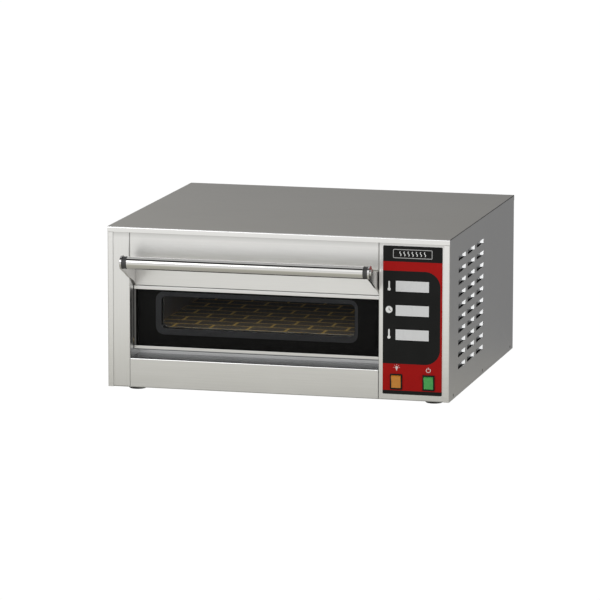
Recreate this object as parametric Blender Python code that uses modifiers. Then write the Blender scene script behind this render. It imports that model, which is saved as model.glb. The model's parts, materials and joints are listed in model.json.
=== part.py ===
"""Countertop pizza oven with one baking chamber: a folded stainless casing on four rubber feet, a drop-down
glazed door with a tubular handle, a control column with three displays and two rocker switches, and a stone
deck between two heating elements. Metres, +Z up, the front faces -Y, and the origin is on the counter under
the middle of the oven."""

import math

import bmesh
import bpy
from mathutils import Matrix, Vector
from mathutils.geometry import interpolate_bezier

# Casing
BODY_WIDTH = 0.560
BODY_DEPTH = 0.500
BODY_HEIGHT = 0.260
SHEET = 0.0012
BEND_RADIUS = 0.0020
RIM_WIDTH = 0.009
PILLAR_WIDTH = 0.0366
CONTROL_WIDTH = 0.1150
TOP_PANEL_HEIGHT = 0.2077 * BODY_HEIGHT
LOWER_PANEL_HEIGHT = 0.1846 * BODY_HEIGHT
BASE_FLANGE = 0.014
GAP = 0.0003

# Feet
FOOT_HEIGHT = 0.010
FOOT_RADIUS = 0.016
FOOT_SIDE_INSET = 0.035
FOOT_END_INSET = 0.051
FOOT_STUD_RADIUS = 0.0023
FOOT_TAPER = 0.0016
FOOT_CHAMFER = 0.0012

# Louvres in the side of the control compartment
LOUVRE_LENGTH = 0.054
LOUVRE_HEIGHT = 0.0082
LOUVRE_PITCH_Y = 0.068
LOUVRE_PITCH_Z = 0.0194
LOUVRE_FRONT_MARGIN = 0.066
LOUVRE_REAR_MARGIN = 0.230
LOUVRE_BOTTOM_MARGIN = 0.0455
LOUVRE_TOP_MARGIN = 0.034

# Door
DOOR_SETBACK = 0.022
DOOR_THICKNESS = 0.022
DOOR_SIDE_GAP = 0.0010
DOOR_BELOW_GAP = 0.010
DOOR_TOP_CLEARANCE = 0.002
DOOR_SHEET = 0.0010
SWING_CLEARANCE = 0.0005
HINGE_INSET = 0.0055
HINGE_RISE = 0.0145
HINGE_PIN_RADIUS = 0.0045
HINGE_PIN_LENGTH = 0.026
HINGE_PLATE = 0.003
BUSH_WALL = 0.0019
BUSH_FLANGE = 0.0018
RUNNING_CLEARANCE = 0.0003
BAND_HEIGHT = 0.1527 * BODY_HEIGHT
GLASS_RAIL = 0.0065
GLASS_THICKNESS = 0.004
WINDOW_FRAME_DEPTH = 0.008
WINDOW_SIDE_MARGIN = 0.044
WINDOW_TOP_MARGIN = 0.0412 * BODY_HEIGHT
WINDOW_BOTTOM_MARGIN = 0.1115 * BODY_HEIGHT
WINDOW_RADIUS = 0.0075
WINDOW_LAND = 0.012
SEAL_WIDTH = 0.006
SEAL_CORNER = 0.003
DOOR_CORNER = 0.0015

# Handle
HANDLE_REACH = 0.050
HANDLE_RISE = 0.0077
HANDLE_RADIUS = 0.010
HANDLE_WALL = 0.0015
COLLAR_LENGTH = 0.007
COLLAR_RADIUS = 0.0103
BRACKET_THICKNESS = 0.0030
BRACKET_END_RADIUS = 0.0115
BRACKET_SCREW_RADIUS = 0.003
BRACKET_KNEE_REACH = 0.0235
BRACKET_KNEE_DROP = 0.0250
BRACKET_ARM_BEND = ((0.0085, -0.004), (-0.010, 0.006))
BRACKET_FOOT_BEND = ((0.019, -0.010), (-0.014, 0.014))
BRACKET_HOLLOW_BEND = ((-0.025, -0.001), (0.0135, -0.011))

# Baking chamber
CHAMBER_SIDE_INSET = 0.0134
CHAMBER_REAR_INSET = 0.070
ROOF_DROP = 0.0769 * BODY_HEIGHT
MOUTH_LIP = 0.002
DECK_RISE = 0.028
DECK_THICKNESS = 0.014
DECK_CLEARANCE = 0.001
UNDER_DECK = 0.018
DECK_LIP = 0.012
ELEMENT_RADIUS = 0.0035
ELEMENT_RUNS = 4
ELEMENT_DROP = 0.010
ELEMENT_MARGIN = 0.030
ELEMENT_REAR_MARGIN = 0.045
PROBE_RADIUS = 0.003
PROBE_REAR_MARGIN = 0.018
PROBE_REACH = 0.040
UPPER_PROBE_DROP = 0.020
TERMINAL_REACH = 0.026
CASE_CLEARANCE = 0.003

# Chamber lamp
LAMP_RADIUS = 0.020
LAMP_FLANGE = 0.003
LAMP_WALL = 0.0012
LAMP_DEPTH = 0.024
LAMP_REAR_MARGIN = 0.100
LAMP_RISE = 0.2115 * BODY_HEIGHT
LAMP_LENS_THICKNESS = 0.0025
BULB_RADIUS = 0.008
BULB_LENGTH = 0.014
BULB_ROUNDING = 0.003
BULB_CLEARANCE = 0.0012
ROD_SEGMENTS = 16

# Control column
OVERLAY_THICKNESS = 0.0005
OVERLAY_LEFT_MARGIN = 0.0073
OVERLAY_RIGHT_MARGIN = 0.012
OVERLAY_TOP_MARGIN = 0.0128
OVERLAY_BOTTOM_MARGIN = 0.0098
OVERLAY_RADIUS = 0.0015
DISPLAY_WIDTH = 0.0550
DISPLAY_HEIGHT = 0.0185
DISPLAY_DEPTH = 0.011
DISPLAY_INSET = 0.0327
DISPLAY_TOP_DROP = 0.0549
DISPLAY_PITCH = 0.0388
BOARD_THICKNESS = 0.0016
BOARD_MARGIN = 0.010
SWITCH_WIDTH = 0.0196
SWITCH_HEIGHT = 0.025
SWITCH_RIM = 0.0020
SWITCH_FLANGE = 0.0014
SWITCH_BODY_INSET = 0.0010
SWITCH_DEPTH = 0.020
SWITCH_CAVITY = 0.012
SWITCH_RISE = 0.0301
SWITCH_INSETS = {"light": 0.0856, "power": 0.0331}
ROCKER_TILT = math.radians(10)
ROCKER_PIVOT_DEPTH = 0.0025
ROCKER_BACK = 0.0035
ROCKER_CLEARANCE = 0.0003

# Services
GLAND_REACH = 0.014
GLAND_RADIUS = 0.0115
GLAND_THREAD_RADIUS = 0.009
GLAND_BORE_RADIUS = 0.0045
GLAND_CHAMFER = 0.001
GLAND_INSIDE = 0.012
GLAND_RISE = 0.040
GLAND_INSET = 0.055
TERMINAL_BLOCK = (0.030, 0.045, 0.020)
THERMOSTAT_RADIUS = 0.014
THERMOSTAT_DEPTH = 0.018
SPRING_WIRE = 0.0012
SPRING_CLEARANCE = 0.0015
SPRING_TURNS = 5
SPRING_PITCH = 0.0030
SPRING_LEG = 0.014

# Reference planes
LEFT = -BODY_WIDTH / 2
RIGHT = BODY_WIDTH / 2
FRONT = (HANDLE_REACH + BRACKET_END_RADIUS - BODY_DEPTH - GLAND_REACH) / 2
REAR = FRONT + BODY_DEPTH
BASE = FOOT_HEIGHT
TOP = BASE + BODY_HEIGHT
FACE = FRONT + SHEET + GAP
CASE_TOP = TOP - SHEET - GAP
CASE_BOTTOM = BASE + SHEET + GAP
CASE_LEFT = LEFT + SHEET + GAP
CASE_RIGHT = RIGHT - SHEET - GAP

# Door opening, hinge line and door
OPEN_LEFT = LEFT + PILLAR_WIDTH
OPEN_RIGHT = RIGHT - CONTROL_WIDTH
OPEN_BOTTOM = BASE + LOWER_PANEL_HEIGHT
OPEN_TOP = TOP - TOP_PANEL_HEIGHT
DOOR_LEFT = OPEN_LEFT + DOOR_SIDE_GAP
DOOR_RIGHT = OPEN_RIGHT - DOOR_SIDE_GAP
DOOR_BOTTOM = OPEN_BOTTOM + DOOR_BELOW_GAP
DOOR_FACE = FRONT + DOOR_SETBACK
DOOR_BACK = DOOR_FACE + DOOR_THICKNESS
HINGE_Y = DOOR_FACE + HINGE_INSET
HINGE_Z = DOOR_BOTTOM + HINGE_RISE
HINGE_TO_BACK = DOOR_BACK - HINGE_Y
DOOR_TOP = HINGE_Z + math.sqrt((OPEN_TOP - DOOR_TOP_CLEARANCE - HINGE_Z) ** 2 - HINGE_TO_BACK**2)
FRAME_Y = HINGE_Y + math.hypot(HINGE_TO_BACK, HINGE_RISE) + SWING_CLEARANCE
BAND_BOTTOM = DOOR_TOP - BAND_HEIGHT
UPPER_RAIL_TOP = BAND_BOTTOM - GAP
UPPER_RAIL_BOTTOM = UPPER_RAIL_TOP - GLASS_RAIL
LOWER_RAIL_TOP = DOOR_BOTTOM + GLASS_RAIL
DOOR_INNER_FACE = DOOR_BACK - SHEET
GLASS_FACE = DOOR_FACE + DOOR_SHEET + GAP
GLASS_BACK = GLASS_FACE + GLASS_THICKNESS
WINDOW_LEFT = DOOR_LEFT + WINDOW_SIDE_MARGIN
WINDOW_RIGHT = DOOR_RIGHT - WINDOW_SIDE_MARGIN
WINDOW_BOTTOM = LOWER_RAIL_TOP + WINDOW_BOTTOM_MARGIN
WINDOW_TOP = UPPER_RAIL_BOTTOM - WINDOW_TOP_MARGIN
HANDLE_Y = FRONT - HANDLE_REACH
HANDLE_Z = DOOR_TOP + HANDLE_RISE

# Baking chamber and the walls round it
FRAME_BACK = FRAME_Y + SHEET
CHAMBER_FRONT = FRAME_BACK + GAP
CHAMBER_LEFT = OPEN_LEFT + CHAMBER_SIDE_INSET
CHAMBER_RIGHT = OPEN_RIGHT - CHAMBER_SIDE_INSET
CHAMBER_BACK = REAR - CHAMBER_REAR_INSET
DECK_TOP = DOOR_BOTTOM + DECK_RISE
DECK_BOTTOM = DECK_TOP - DECK_THICKNESS
FLOOR_BOTTOM = DECK_BOTTOM - UNDER_DECK
ROOF = OPEN_TOP - ROOF_DROP
PARTITION_X = OPEN_RIGHT + SHEET + GAP
PARTITION_BACK_X = PARTITION_X + SHEET
INNER_REAR = REAR - 2 * (SHEET + GAP)
INNER_BASE = CASE_BOTTOM + CASE_CLEARANCE
INNER_TOP = CASE_TOP - CASE_CLEARANCE
UPPER_ELEMENT_Z = ROOF - ELEMENT_DROP
LOWER_ELEMENT_Z = (FLOOR_BOTTOM + SHEET + DECK_BOTTOM) / 2
ELEMENT_FRONT_Y = CHAMBER_FRONT + ELEMENT_MARGIN
ELEMENT_BACK_Y = CHAMBER_BACK - ELEMENT_REAR_MARGIN
PROBE_Y = CHAMBER_BACK - PROBE_REAR_MARGIN
LAMP_Y = CHAMBER_BACK - LAMP_REAR_MARGIN
LAMP_Z = DECK_TOP + LAMP_RISE

# Control column
OVERLAY_LEFT = OPEN_RIGHT + OVERLAY_LEFT_MARGIN
OVERLAY_RIGHT = RIGHT - OVERLAY_RIGHT_MARGIN
OVERLAY_TOP = TOP - OVERLAY_TOP_MARGIN
OVERLAY_BOTTOM = BASE + OVERLAY_BOTTOM_MARGIN
OVERLAY_FACE = FACE - OVERLAY_THICKNESS - GAP
DISPLAY_RIGHT = RIGHT - DISPLAY_INSET
DISPLAY_LEFT = DISPLAY_RIGHT - DISPLAY_WIDTH
DISPLAY_NAMES = ("upper_heat_display", "timer_display", "lower_heat_display")
SWITCH_FACE = OVERLAY_FACE - GAP - SWITCH_FLANGE
SWITCH_Z = BASE + SWITCH_RISE
PIVOT_Y = SWITCH_FACE + ROCKER_PIVOT_DEPTH

AXES = {"X": 0, "Y": 1, "Z": 2}
STEEL = (0.62, 0.62, 0.60)
LIGHT_STEEL = (0.72, 0.72, 0.70)
DARK = (0.02, 0.02, 0.02)
WOOL = (0.70, 0.66, 0.52)
BRASS = (0.50, 0.36, 0.12)


def clear_scene():
    for obj in list(bpy.data.objects):
        bpy.data.objects.remove(obj, do_unlink=True)
    for name in ("countertop_pizza_oven", "cutters"):
        bpy.context.scene.collection.children.link(bpy.data.collections.new(name))


def finish(name, colour, roughness, metallic):
    material = bpy.data.materials.new(name + "_finish")
    material.use_nodes = True
    shader = material.node_tree.nodes["Principled BSDF"]
    shader.inputs["Base Color"].default_value = (*colour, 1)
    shader.inputs["Roughness"].default_value = roughness
    shader.inputs["Metallic"].default_value = metallic
    return material


def place(obj, name, look):
    obj.name = name
    bpy.data.collections["countertop_pizza_oven"].objects.link(obj)
    obj.data.materials.append(finish(name, *look))
    return obj


def mesh_object(bm):
    mesh = bpy.data.meshes.new("mesh")
    bm.normal_update()
    bm.to_mesh(mesh)
    bm.free()
    return bpy.data.objects.new("object", mesh)


def add_box(bm, low, high):
    low, high = Vector(low), Vector(high)
    size = Matrix.Diagonal((*(high - low), 1))
    return bmesh.ops.create_cube(bm, size=1, matrix=Matrix.Translation((low + high) / 2) @ size)["verts"]


def add_cylinder(bm, axis, centre, start, end, radius, segments=32):
    """A cylinder along an axis, between two coordinates on it; centre gives the other two coordinates."""
    middle = list(centre)
    middle.insert(AXES[axis], (start + end) / 2)
    quarter = math.pi / 2
    turn = {"X": Matrix.Rotation(quarter, 4, "Y"), "Y": Matrix.Rotation(quarter, 4, "X"), "Z": Matrix()}
    bmesh.ops.create_cone(bm, cap_ends=True, segments=segments, radius1=radius, radius2=radius,
                          depth=end - start, matrix=Matrix.Translation(middle) @ turn[axis])


def bevelled(obj, width, segments=2, angle=40):
    bevel = obj.modifiers.new("rounded_edges", "BEVEL")
    bevel.width = width
    bevel.segments = segments
    bevel.limit_method = "ANGLE"
    bevel.angle_limit = math.radians(angle)
    return obj


def box(name, low, high, look, rounding=0):
    bm = bmesh.new()
    add_box(bm, low, high)
    obj = place(mesh_object(bm), name, look)
    return bevelled(obj, rounding) if rounding else obj


def smooth(obj, angle=35):
    obj.data.shade_smooth()
    obj.data.set_sharp_from_angle(angle=math.radians(angle))
    return obj


def thicken(obj, thickness):
    """Wall on the inner side of an open surface whose faces point outwards."""
    solidify = obj.modifiers.new("sheet", "SOLIDIFY")
    solidify.thickness = thickness
    solidify.offset = -1
    solidify.use_even_offset = True
    return obj


def folded_sheet(name, profile, along, start, end, look, thickness=SHEET):
    """Sheet folded to a profile, given as the outer corners in the plane across the axis, then rounded."""
    bm = bmesh.new()
    corners = []
    for point in profile:
        corner = list(point)
        corner.insert(AXES[along], start)
        corners.append(bm.verts.new(corner))
    edges = [bm.edges.new(pair) for pair in zip(corners, corners[1:])]
    swept = bmesh.ops.extrude_edge_only(bm, edges=edges)["geom"]
    step = Vector((0, 0, 0))
    step[AXES[along]] = end - start
    bmesh.ops.translate(bm, vec=step, verts=[item for item in swept if isinstance(item, bmesh.types.BMVert)])
    bmesh.ops.recalc_face_normals(bm, faces=bm.faces[:])
    obj = place(mesh_object(bm), name, look)
    return thicken(bevelled(obj, BEND_RADIUS, segments=3), thickness)


def cutter(name, build):
    """A helper solid for Booleans. build fills a bmesh with it."""
    bm = bmesh.new()
    build(bm)
    obj = mesh_object(bm)
    obj.name = name
    obj.hide_render = True
    obj.display_type = "WIRE"
    bpy.data.collections["cutters"].objects.link(obj)
    return obj


def boolean(obj, other, operation="DIFFERENCE"):
    modifier = obj.modifiers.new(operation.lower(), "BOOLEAN")
    modifier.operation = operation
    modifier.object = other
    return obj


def arc(centre, radius, start, end, steps):
    """Points on an arc, angles in radians."""
    angles = [start + (end - start) * step / steps for step in range(steps + 1)]
    return [(centre[0] + radius * math.cos(a), centre[1] + radius * math.sin(a)) for a in angles]


def rounded_rectangle(left, bottom, right, top, radius, steps=5):
    corners = ((right, top, 0), (left, top, 1), (left, bottom, 2), (right, bottom, 3))
    points = []
    for x, y, quarter in corners:
        inward = (-1 if x == right else 1, -1 if y == top else 1)
        centre = (x + inward[0] * radius, y + inward[1] * radius)
        points += arc(centre, radius, quarter * math.pi / 2, (quarter + 1) * math.pi / 2, steps)
    return points


def flat_piece(name, outlines, axis, start, end, look):
    """A plate cut from flat outlines, the first one outside and the others holes, between two planes."""
    curve = bpy.data.curves.new("outline", "CURVE")
    curve.dimensions = "2D"
    curve.fill_mode = "BOTH"
    curve.extrude = (end - start) / 2
    for outline in outlines:
        spline = curve.splines.new("POLY")
        spline.points.add(len(outline) - 1)
        for point, (u, v) in zip(spline.points, outline):
            point.co = (u, v, 0, 1)
        spline.use_cyclic_u = True
    drawn = bpy.data.objects.new("drawn", curve)
    bpy.context.scene.collection.objects.link(drawn)
    frames = {"X": Matrix(((0, 0, 1), (1, 0, 0), (0, 1, 0))), "Y": Matrix(((1, 0, 0), (0, 0, -1), (0, 1, 0)))}
    offset = Vector((0, 0, 0))
    offset[AXES[axis]] = (start + end) / 2
    solid = mesh_from(drawn, Matrix.Translation(offset) @ frames[axis].to_4x4())
    return place(solid, name, look)


def mesh_from(drawn, matrix=None):
    """The evaluated mesh of a curve or modified object, its caps welded, with the drawn object removed."""
    bpy.context.view_layer.update()
    graph = bpy.context.evaluated_depsgraph_get()
    mesh = bpy.data.meshes.new_from_object(drawn.evaluated_get(graph))
    mesh.transform(matrix or drawn.matrix_world)
    bpy.data.objects.remove(drawn, do_unlink=True)
    bm = bmesh.new()
    bm.from_mesh(mesh)
    bmesh.ops.remove_doubles(bm, verts=bm.verts[:], dist=1e-6)
    bmesh.ops.recalc_face_normals(bm, faces=bm.faces[:])
    bm.to_mesh(mesh)
    bm.free()
    return bpy.data.objects.new("solid", mesh)


def wire(name, points, radius, look):
    """A round bar along a path."""
    curve = bpy.data.curves.new("path", "CURVE")
    curve.dimensions = "3D"
    curve.bevel_depth = radius
    curve.bevel_resolution = 2
    curve.use_fill_caps = True
    spline = curve.splines.new("POLY")
    spline.points.add(len(points) - 1)
    for point, place_at in zip(spline.points, points):
        point.co = (*place_at, 1)
    return place(smooth_curve(bpy.data.objects.new("wire", curve)), name, look)


def smooth_curve(obj):
    for spline in obj.data.splines:
        spline.use_smooth = True
    return obj


def turned(name, profile, axis, centre, look, segments=32):
    """A turned piece. profile is a loop of (radius, position along the axis), with 0 on the axis."""
    bm = bmesh.new()
    ring = [bm.verts.new((radius, 0, along)) for radius, along in profile]
    closed = all(radius > 0 for radius, along in profile)
    for first, second in zip(ring, ring[1:] + ring[:1] if closed else ring[1:]):
        bm.edges.new((first, second))
    obj = mesh_object(bm)
    bpy.context.scene.collection.objects.link(obj)
    screw = obj.modifiers.new("turn", "SCREW")
    screw.steps = screw.render_steps = segments
    screw.use_merge_vertices = True
    screw.merge_threshold = 1e-6
    frames = {"X": Matrix(((0, 0, 1), (1, 0, 0), (0, 1, 0))), "Y": Matrix(((0, 1, 0), (0, 0, 1), (1, 0, 0))),
              "Z": Matrix.Identity(3)}
    middle = list(centre)
    middle.insert(AXES[axis], 0)
    solid = mesh_from(obj, Matrix.Translation(middle) @ frames[axis].to_4x4())
    return smooth(place(solid, name, look))


def mirror_x(value, side):
    """A coordinate measured for the left end of the door, moved to the same place at the right end."""
    return value if side == "left" else DOOR_LEFT + DOOR_RIGHT - value


def span(one, other):
    return min(one, other), max(one, other)


# Casing ---------------------------------------------------------------------------------------------------


def make_top_cover():
    lip = TOP - RIM_WIDTH
    profile = [(FRONT, lip), (FRONT, TOP), (REAR, TOP), (REAR, lip)]
    return folded_sheet("top_cover", profile, "X", LEFT, RIGHT, (STEEL, 0.35, 1))


def make_side_panel(name, wall, inward):
    """Side sheet with a rim folded in at the front and the rear, cut short under the top cover's own rim."""
    edge = wall + inward * RIM_WIDTH
    profile = [(edge, FRONT), (wall, FRONT), (wall, REAR), (edge, REAR)]
    panel = folded_sheet(name, profile, "Z", BASE, CASE_TOP, (STEEL, 0.35, 1))
    lip = TOP - RIM_WIDTH - GAP
    low_x, high_x = span(wall - inward * SHEET, edge + inward * SHEET)

    def rim_tops(bm):
        for low_y, high_y in ((FRONT - SHEET, FACE), (REAR - SHEET - GAP, REAR + SHEET)):
            add_box(bm, (low_x, low_y, lip), (high_x, high_y, TOP))

    return boolean(panel, cutter(name + "_rim_tops", rim_tops))


def louvre_places():
    """Centres of the louvres in the side panel, columns from the front and rows from the bottom."""
    length = BODY_DEPTH - LOUVRE_FRONT_MARGIN - LOUVRE_REAR_MARGIN
    height = BODY_HEIGHT - LOUVRE_BOTTOM_MARGIN - LOUVRE_TOP_MARGIN
    columns = int((length - LOUVRE_LENGTH) / LOUVRE_PITCH_Y + 1.001)
    rows = int(height / LOUVRE_PITCH_Z + 1.001)
    first_y = FRONT + LOUVRE_FRONT_MARGIN + LOUVRE_LENGTH / 2
    first_z = BASE + LOUVRE_BOTTOM_MARGIN
    return [(first_y + column * LOUVRE_PITCH_Y, first_z + row * LOUVRE_PITCH_Z)
            for column in range(columns) for row in range(rows)]


def make_right_side_panel():
    panel = make_side_panel("right_side_panel", RIGHT, -1)

    def slots(bm):
        for y, z in louvre_places():
            half = Vector((2 * SHEET, LOUVRE_LENGTH / 2, LOUVRE_HEIGHT / 2))
            middle = Vector((RIGHT - SHEET / 2, y, z))
            add_box(bm, middle - half, middle + half)

    return boolean(panel, cutter("louvre_slots", slots))


def foot_places():
    return {f"{end}_{side}_foot": (x, y)
            for end, y in (("front", FRONT + FOOT_END_INSET), ("rear", REAR - FOOT_END_INSET))
            for side, x in (("left", LEFT + FOOT_SIDE_INSET), ("right", RIGHT - FOOT_SIDE_INSET))}


def make_base_pan():
    flange = BASE + BASE_FLANGE
    profile = [(CASE_LEFT, flange), (CASE_LEFT, BASE), (CASE_RIGHT, BASE), (CASE_RIGHT, flange)]
    pan = folded_sheet("base_pan", profile, "Y", FACE + SHEET + GAP, INNER_REAR, (STEEL, 0.4, 1))

    def stud_holes(bm):
        for x, y in foot_places().values():
            radius = FOOT_STUD_RADIUS + GAP
            add_cylinder(bm, "Z", (x, y), BASE - SHEET, BASE + 2 * SHEET, radius, ROD_SEGMENTS)

    return boolean(pan, cutter("foot_stud_holes", stud_holes))


def make_feet():
    """Moulded rubber feet, slightly waisted, each with its steel stud up through the base pan."""
    shoulder = FOOT_HEIGHT - GAP
    waist = shoulder / 2
    sole = FOOT_RADIUS - FOOT_TAPER
    profile = [(0, BASE + SHEET), (FOOT_STUD_RADIUS, BASE + SHEET), (FOOT_STUD_RADIUS, shoulder),
               (FOOT_RADIUS, shoulder), (FOOT_RADIUS, waist), (sole, FOOT_CHAMFER),
               (sole - FOOT_CHAMFER, 0), (0, 0)]
    for name, (x, y) in foot_places().items():
        turned(name, profile, "Z", (x, y), (DARK, 0.8, 0), segments=24)


def make_rear_panel():
    y = REAR - SHEET - GAP
    panel = box("rear_panel", (CASE_LEFT, y - SHEET, CASE_BOTTOM), (CASE_RIGHT, y, CASE_TOP), (STEEL, 0.4, 1))

    def gland_hole(bm):
        centre = (RIGHT - GLAND_INSET, BASE + GLAND_RISE)
        add_cylinder(bm, "Y", centre, y - 3 * SHEET, y + SHEET, GLAND_THREAD_RADIUS + GAP)

    return boolean(panel, cutter("gland_hole", gland_hole))


def hinge_holes(bm):
    """Holes in both jambs for the hinge bushes."""
    radius = HINGE_PIN_RADIUS + RUNNING_CLEARANCE + BUSH_WALL + GAP
    for x in (OPEN_LEFT, OPEN_RIGHT):
        add_cylinder(bm, "X", (HINGE_Y, HINGE_Z), x - 3 * SHEET, x + 3 * SHEET, radius)


def make_front_sheets():
    """The fixed pieces round the door opening. Each folds back beside, above or below the opening."""
    back = FRAME_Y - GAP
    look = (LIGHT_STEEL, 0.38, 1)
    holes = cutter("hinge_holes", hinge_holes)
    profile = [(CASE_LEFT, FACE), (OPEN_LEFT, FACE), (OPEN_LEFT, back)]
    boolean(folded_sheet("left_front_pillar", profile, "Z", CASE_BOTTOM, CASE_TOP, look), holes)
    profile = [(FACE, CASE_TOP), (FACE, OPEN_TOP), (back, OPEN_TOP)]
    folded_sheet("top_front_panel", profile, "X", OPEN_LEFT + GAP, OPEN_RIGHT - GAP, look)
    profile = [(FACE, CASE_BOTTOM), (FACE, OPEN_BOTTOM), (back, OPEN_BOTTOM)]
    folded_sheet("lower_front_panel", profile, "X", OPEN_LEFT + GAP, OPEN_RIGHT - GAP, look)
    profile = [(OPEN_RIGHT, back), (OPEN_RIGHT, FACE), (CASE_RIGHT, FACE)]
    fascia = folded_sheet("control_fascia", profile, "Z", CASE_BOTTOM, CASE_TOP, look)
    boolean(fascia, holes)
    boolean(fascia, cutter("fascia_openings", fascia_openings))


# Control column -------------------------------------------------------------------------------------------


def display_rows():
    """Heights of the middles of the displays, from the top."""
    first = OVERLAY_TOP - DISPLAY_TOP_DROP - DISPLAY_HEIGHT / 2
    return [first - row * DISPLAY_PITCH for row in range(len(DISPLAY_NAMES))]


def switch_body(inset):
    """Left, bottom, right and top of the part of a switch that passes through the fascia."""
    x = RIGHT - inset
    half_x = SWITCH_WIDTH / 2 - SWITCH_BODY_INSET
    half_z = SWITCH_HEIGHT / 2 - SWITCH_BODY_INSET
    return x - half_x, SWITCH_Z - half_z, x + half_x, SWITCH_Z + half_z


def control_apertures():
    """Left, bottom, right and top of each hole that the fascia and the overlay share."""
    half = DISPLAY_HEIGHT / 2
    displays = [(DISPLAY_LEFT, z - half, DISPLAY_RIGHT, z + half) for z in display_rows()]
    bodies = [switch_body(inset) for inset in SWITCH_INSETS.values()]
    return [(left - GAP, bottom - GAP, right + GAP, top + GAP)
            for left, bottom, right, top in displays + bodies]


def fascia_openings(bm):
    for left, bottom, right, top in control_apertures():
        add_box(bm, (left, FACE - SHEET, bottom), (right, FACE + 2 * SHEET, top))


def make_control_overlay():
    outline = rounded_rectangle(OVERLAY_LEFT, OVERLAY_BOTTOM, OVERLAY_RIGHT, OVERLAY_TOP, OVERLAY_RADIUS, 3)
    holes = [[(left, bottom), (right, bottom), (right, top), (left, top)]
             for left, bottom, right, top in control_apertures()]
    flat_piece("control_overlay", [outline] + holes, "Y", OVERLAY_FACE, OVERLAY_FACE + OVERLAY_THICKNESS,
               (DARK, 0.35, 0))


def make_displays():
    for name, z in zip(DISPLAY_NAMES, display_rows()):
        low = (DISPLAY_LEFT, OVERLAY_FACE, z - DISPLAY_HEIGHT / 2)
        high = (DISPLAY_RIGHT, OVERLAY_FACE + DISPLAY_DEPTH, z + DISPLAY_HEIGHT / 2)
        box(name, low, high, ((0.55, 0.56, 0.57), 0.3, 0), rounding=0.0003)


def make_control_board():
    y = OVERLAY_FACE + DISPLAY_DEPTH + GAP
    rows = display_rows()
    low = (DISPLAY_LEFT - BOARD_MARGIN, y, rows[-1] - DISPLAY_HEIGHT / 2 - BOARD_MARGIN)
    high = (DISPLAY_RIGHT + BOARD_MARGIN, y + BOARD_THICKNESS, rows[0] + DISPLAY_HEIGHT / 2 + BOARD_MARGIN)
    box("control_board", low, high, ((0.02, 0.16, 0.06), 0.5, 0))


def make_switch_housing(name, inset):
    """Snap-in switch body: a bezel outside the overlay and a cup behind it, open at the front."""
    x = RIGHT - inset
    half = Vector((SWITCH_WIDTH / 2, 0, SWITCH_HEIGHT / 2))
    bezel_front = Vector((x, SWITCH_FACE, SWITCH_Z))
    bezel_back = Vector((x, SWITCH_FACE + SWITCH_FLANGE, SWITCH_Z))
    housing = box(name, bezel_front - half, bezel_back + half, (DARK, 0.4, 0), rounding=0.0004)
    left, bottom, right, top = switch_body(inset)
    overlap = SWITCH_FLANGE / 2

    def body(bm):
        add_box(bm, (left, SWITCH_FACE + overlap, bottom), (right, SWITCH_FACE + SWITCH_DEPTH, top))

    def cavity(bm):
        inner = half - Vector((SWITCH_RIM, 0, SWITCH_RIM))
        mouth = Vector((0, SHEET, 0))
        floor = Vector((0, SWITCH_CAVITY, 0))
        add_box(bm, bezel_front - inner - mouth, bezel_front + inner + floor)

    boolean(housing, cutter(name + "_body", body), "UNION")
    boolean(housing, cutter(name + "_cavity", cavity))


def rocker_outline():
    """Side view of a rocker about its pivot: a shallow V at the front, and ends that follow its turning."""
    radius = SWITCH_HEIGHT / 2 - SWITCH_RIM - ROCKER_CLEARANCE
    rise = ROCKER_PIVOT_DEPTH + radius * math.tan(ROCKER_TILT)
    front = math.asin(rise / radius)
    back = math.asin(ROCKER_BACK / radius)
    upper = arc((0, 0), radius, math.pi / 2 + front, math.pi / 2 - back, 6)
    lower = arc((0, 0), radius, back - math.pi / 2, -front - math.pi / 2, 6)
    return [(-ROCKER_PIVOT_DEPTH, 0)] + upper + lower


def make_rocker(name, inset, colour):
    """A rocker at rest has its top edge proud. Its origin is on its pivot."""
    half = SWITCH_WIDTH / 2 - SWITCH_RIM - ROCKER_CLEARANCE
    rocker = flat_piece(name, [rocker_outline()], "X", -half, half, (colour, 0.3, 0))
    rocker.data.transform(Matrix.Rotation(ROCKER_TILT, 4, "X"))
    rocker.location = (RIGHT - inset, PIVOT_Y, SWITCH_Z)
    bevelled(rocker, 0.0004)


def make_switches():
    colours = {"light": (0.60, 0.25, 0.03), "power": (0.06, 0.40, 0.09)}
    for use, inset in SWITCH_INSETS.items():
        make_switch_housing(use + "_switch_housing", inset)
        make_rocker(use + "_switch_rocker", inset, colours[use])


# Baking chamber -------------------------------------------------------------------------------------------


def make_chamber_front_frame():
    """Sheet behind the door, with the mouth of the chamber in it."""
    low = (CASE_LEFT + SHEET + GAP, FRAME_Y, INNER_BASE)
    high = (PARTITION_BACK_X, FRAME_BACK, INNER_TOP)
    frame = box("chamber_front_frame", low, high, (LIGHT_STEEL, 0.4, 1))

    def mouth(bm):
        low = (CHAMBER_LEFT + MOUTH_LIP, FRAME_Y - SHEET, DECK_TOP - 2 * MOUTH_LIP)
        high = (CHAMBER_RIGHT - MOUTH_LIP, FRAME_BACK + SHEET, ROOF - MOUTH_LIP)
        add_box(bm, low, high)

    boolean(frame, cutter("chamber_mouth", mouth))


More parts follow.
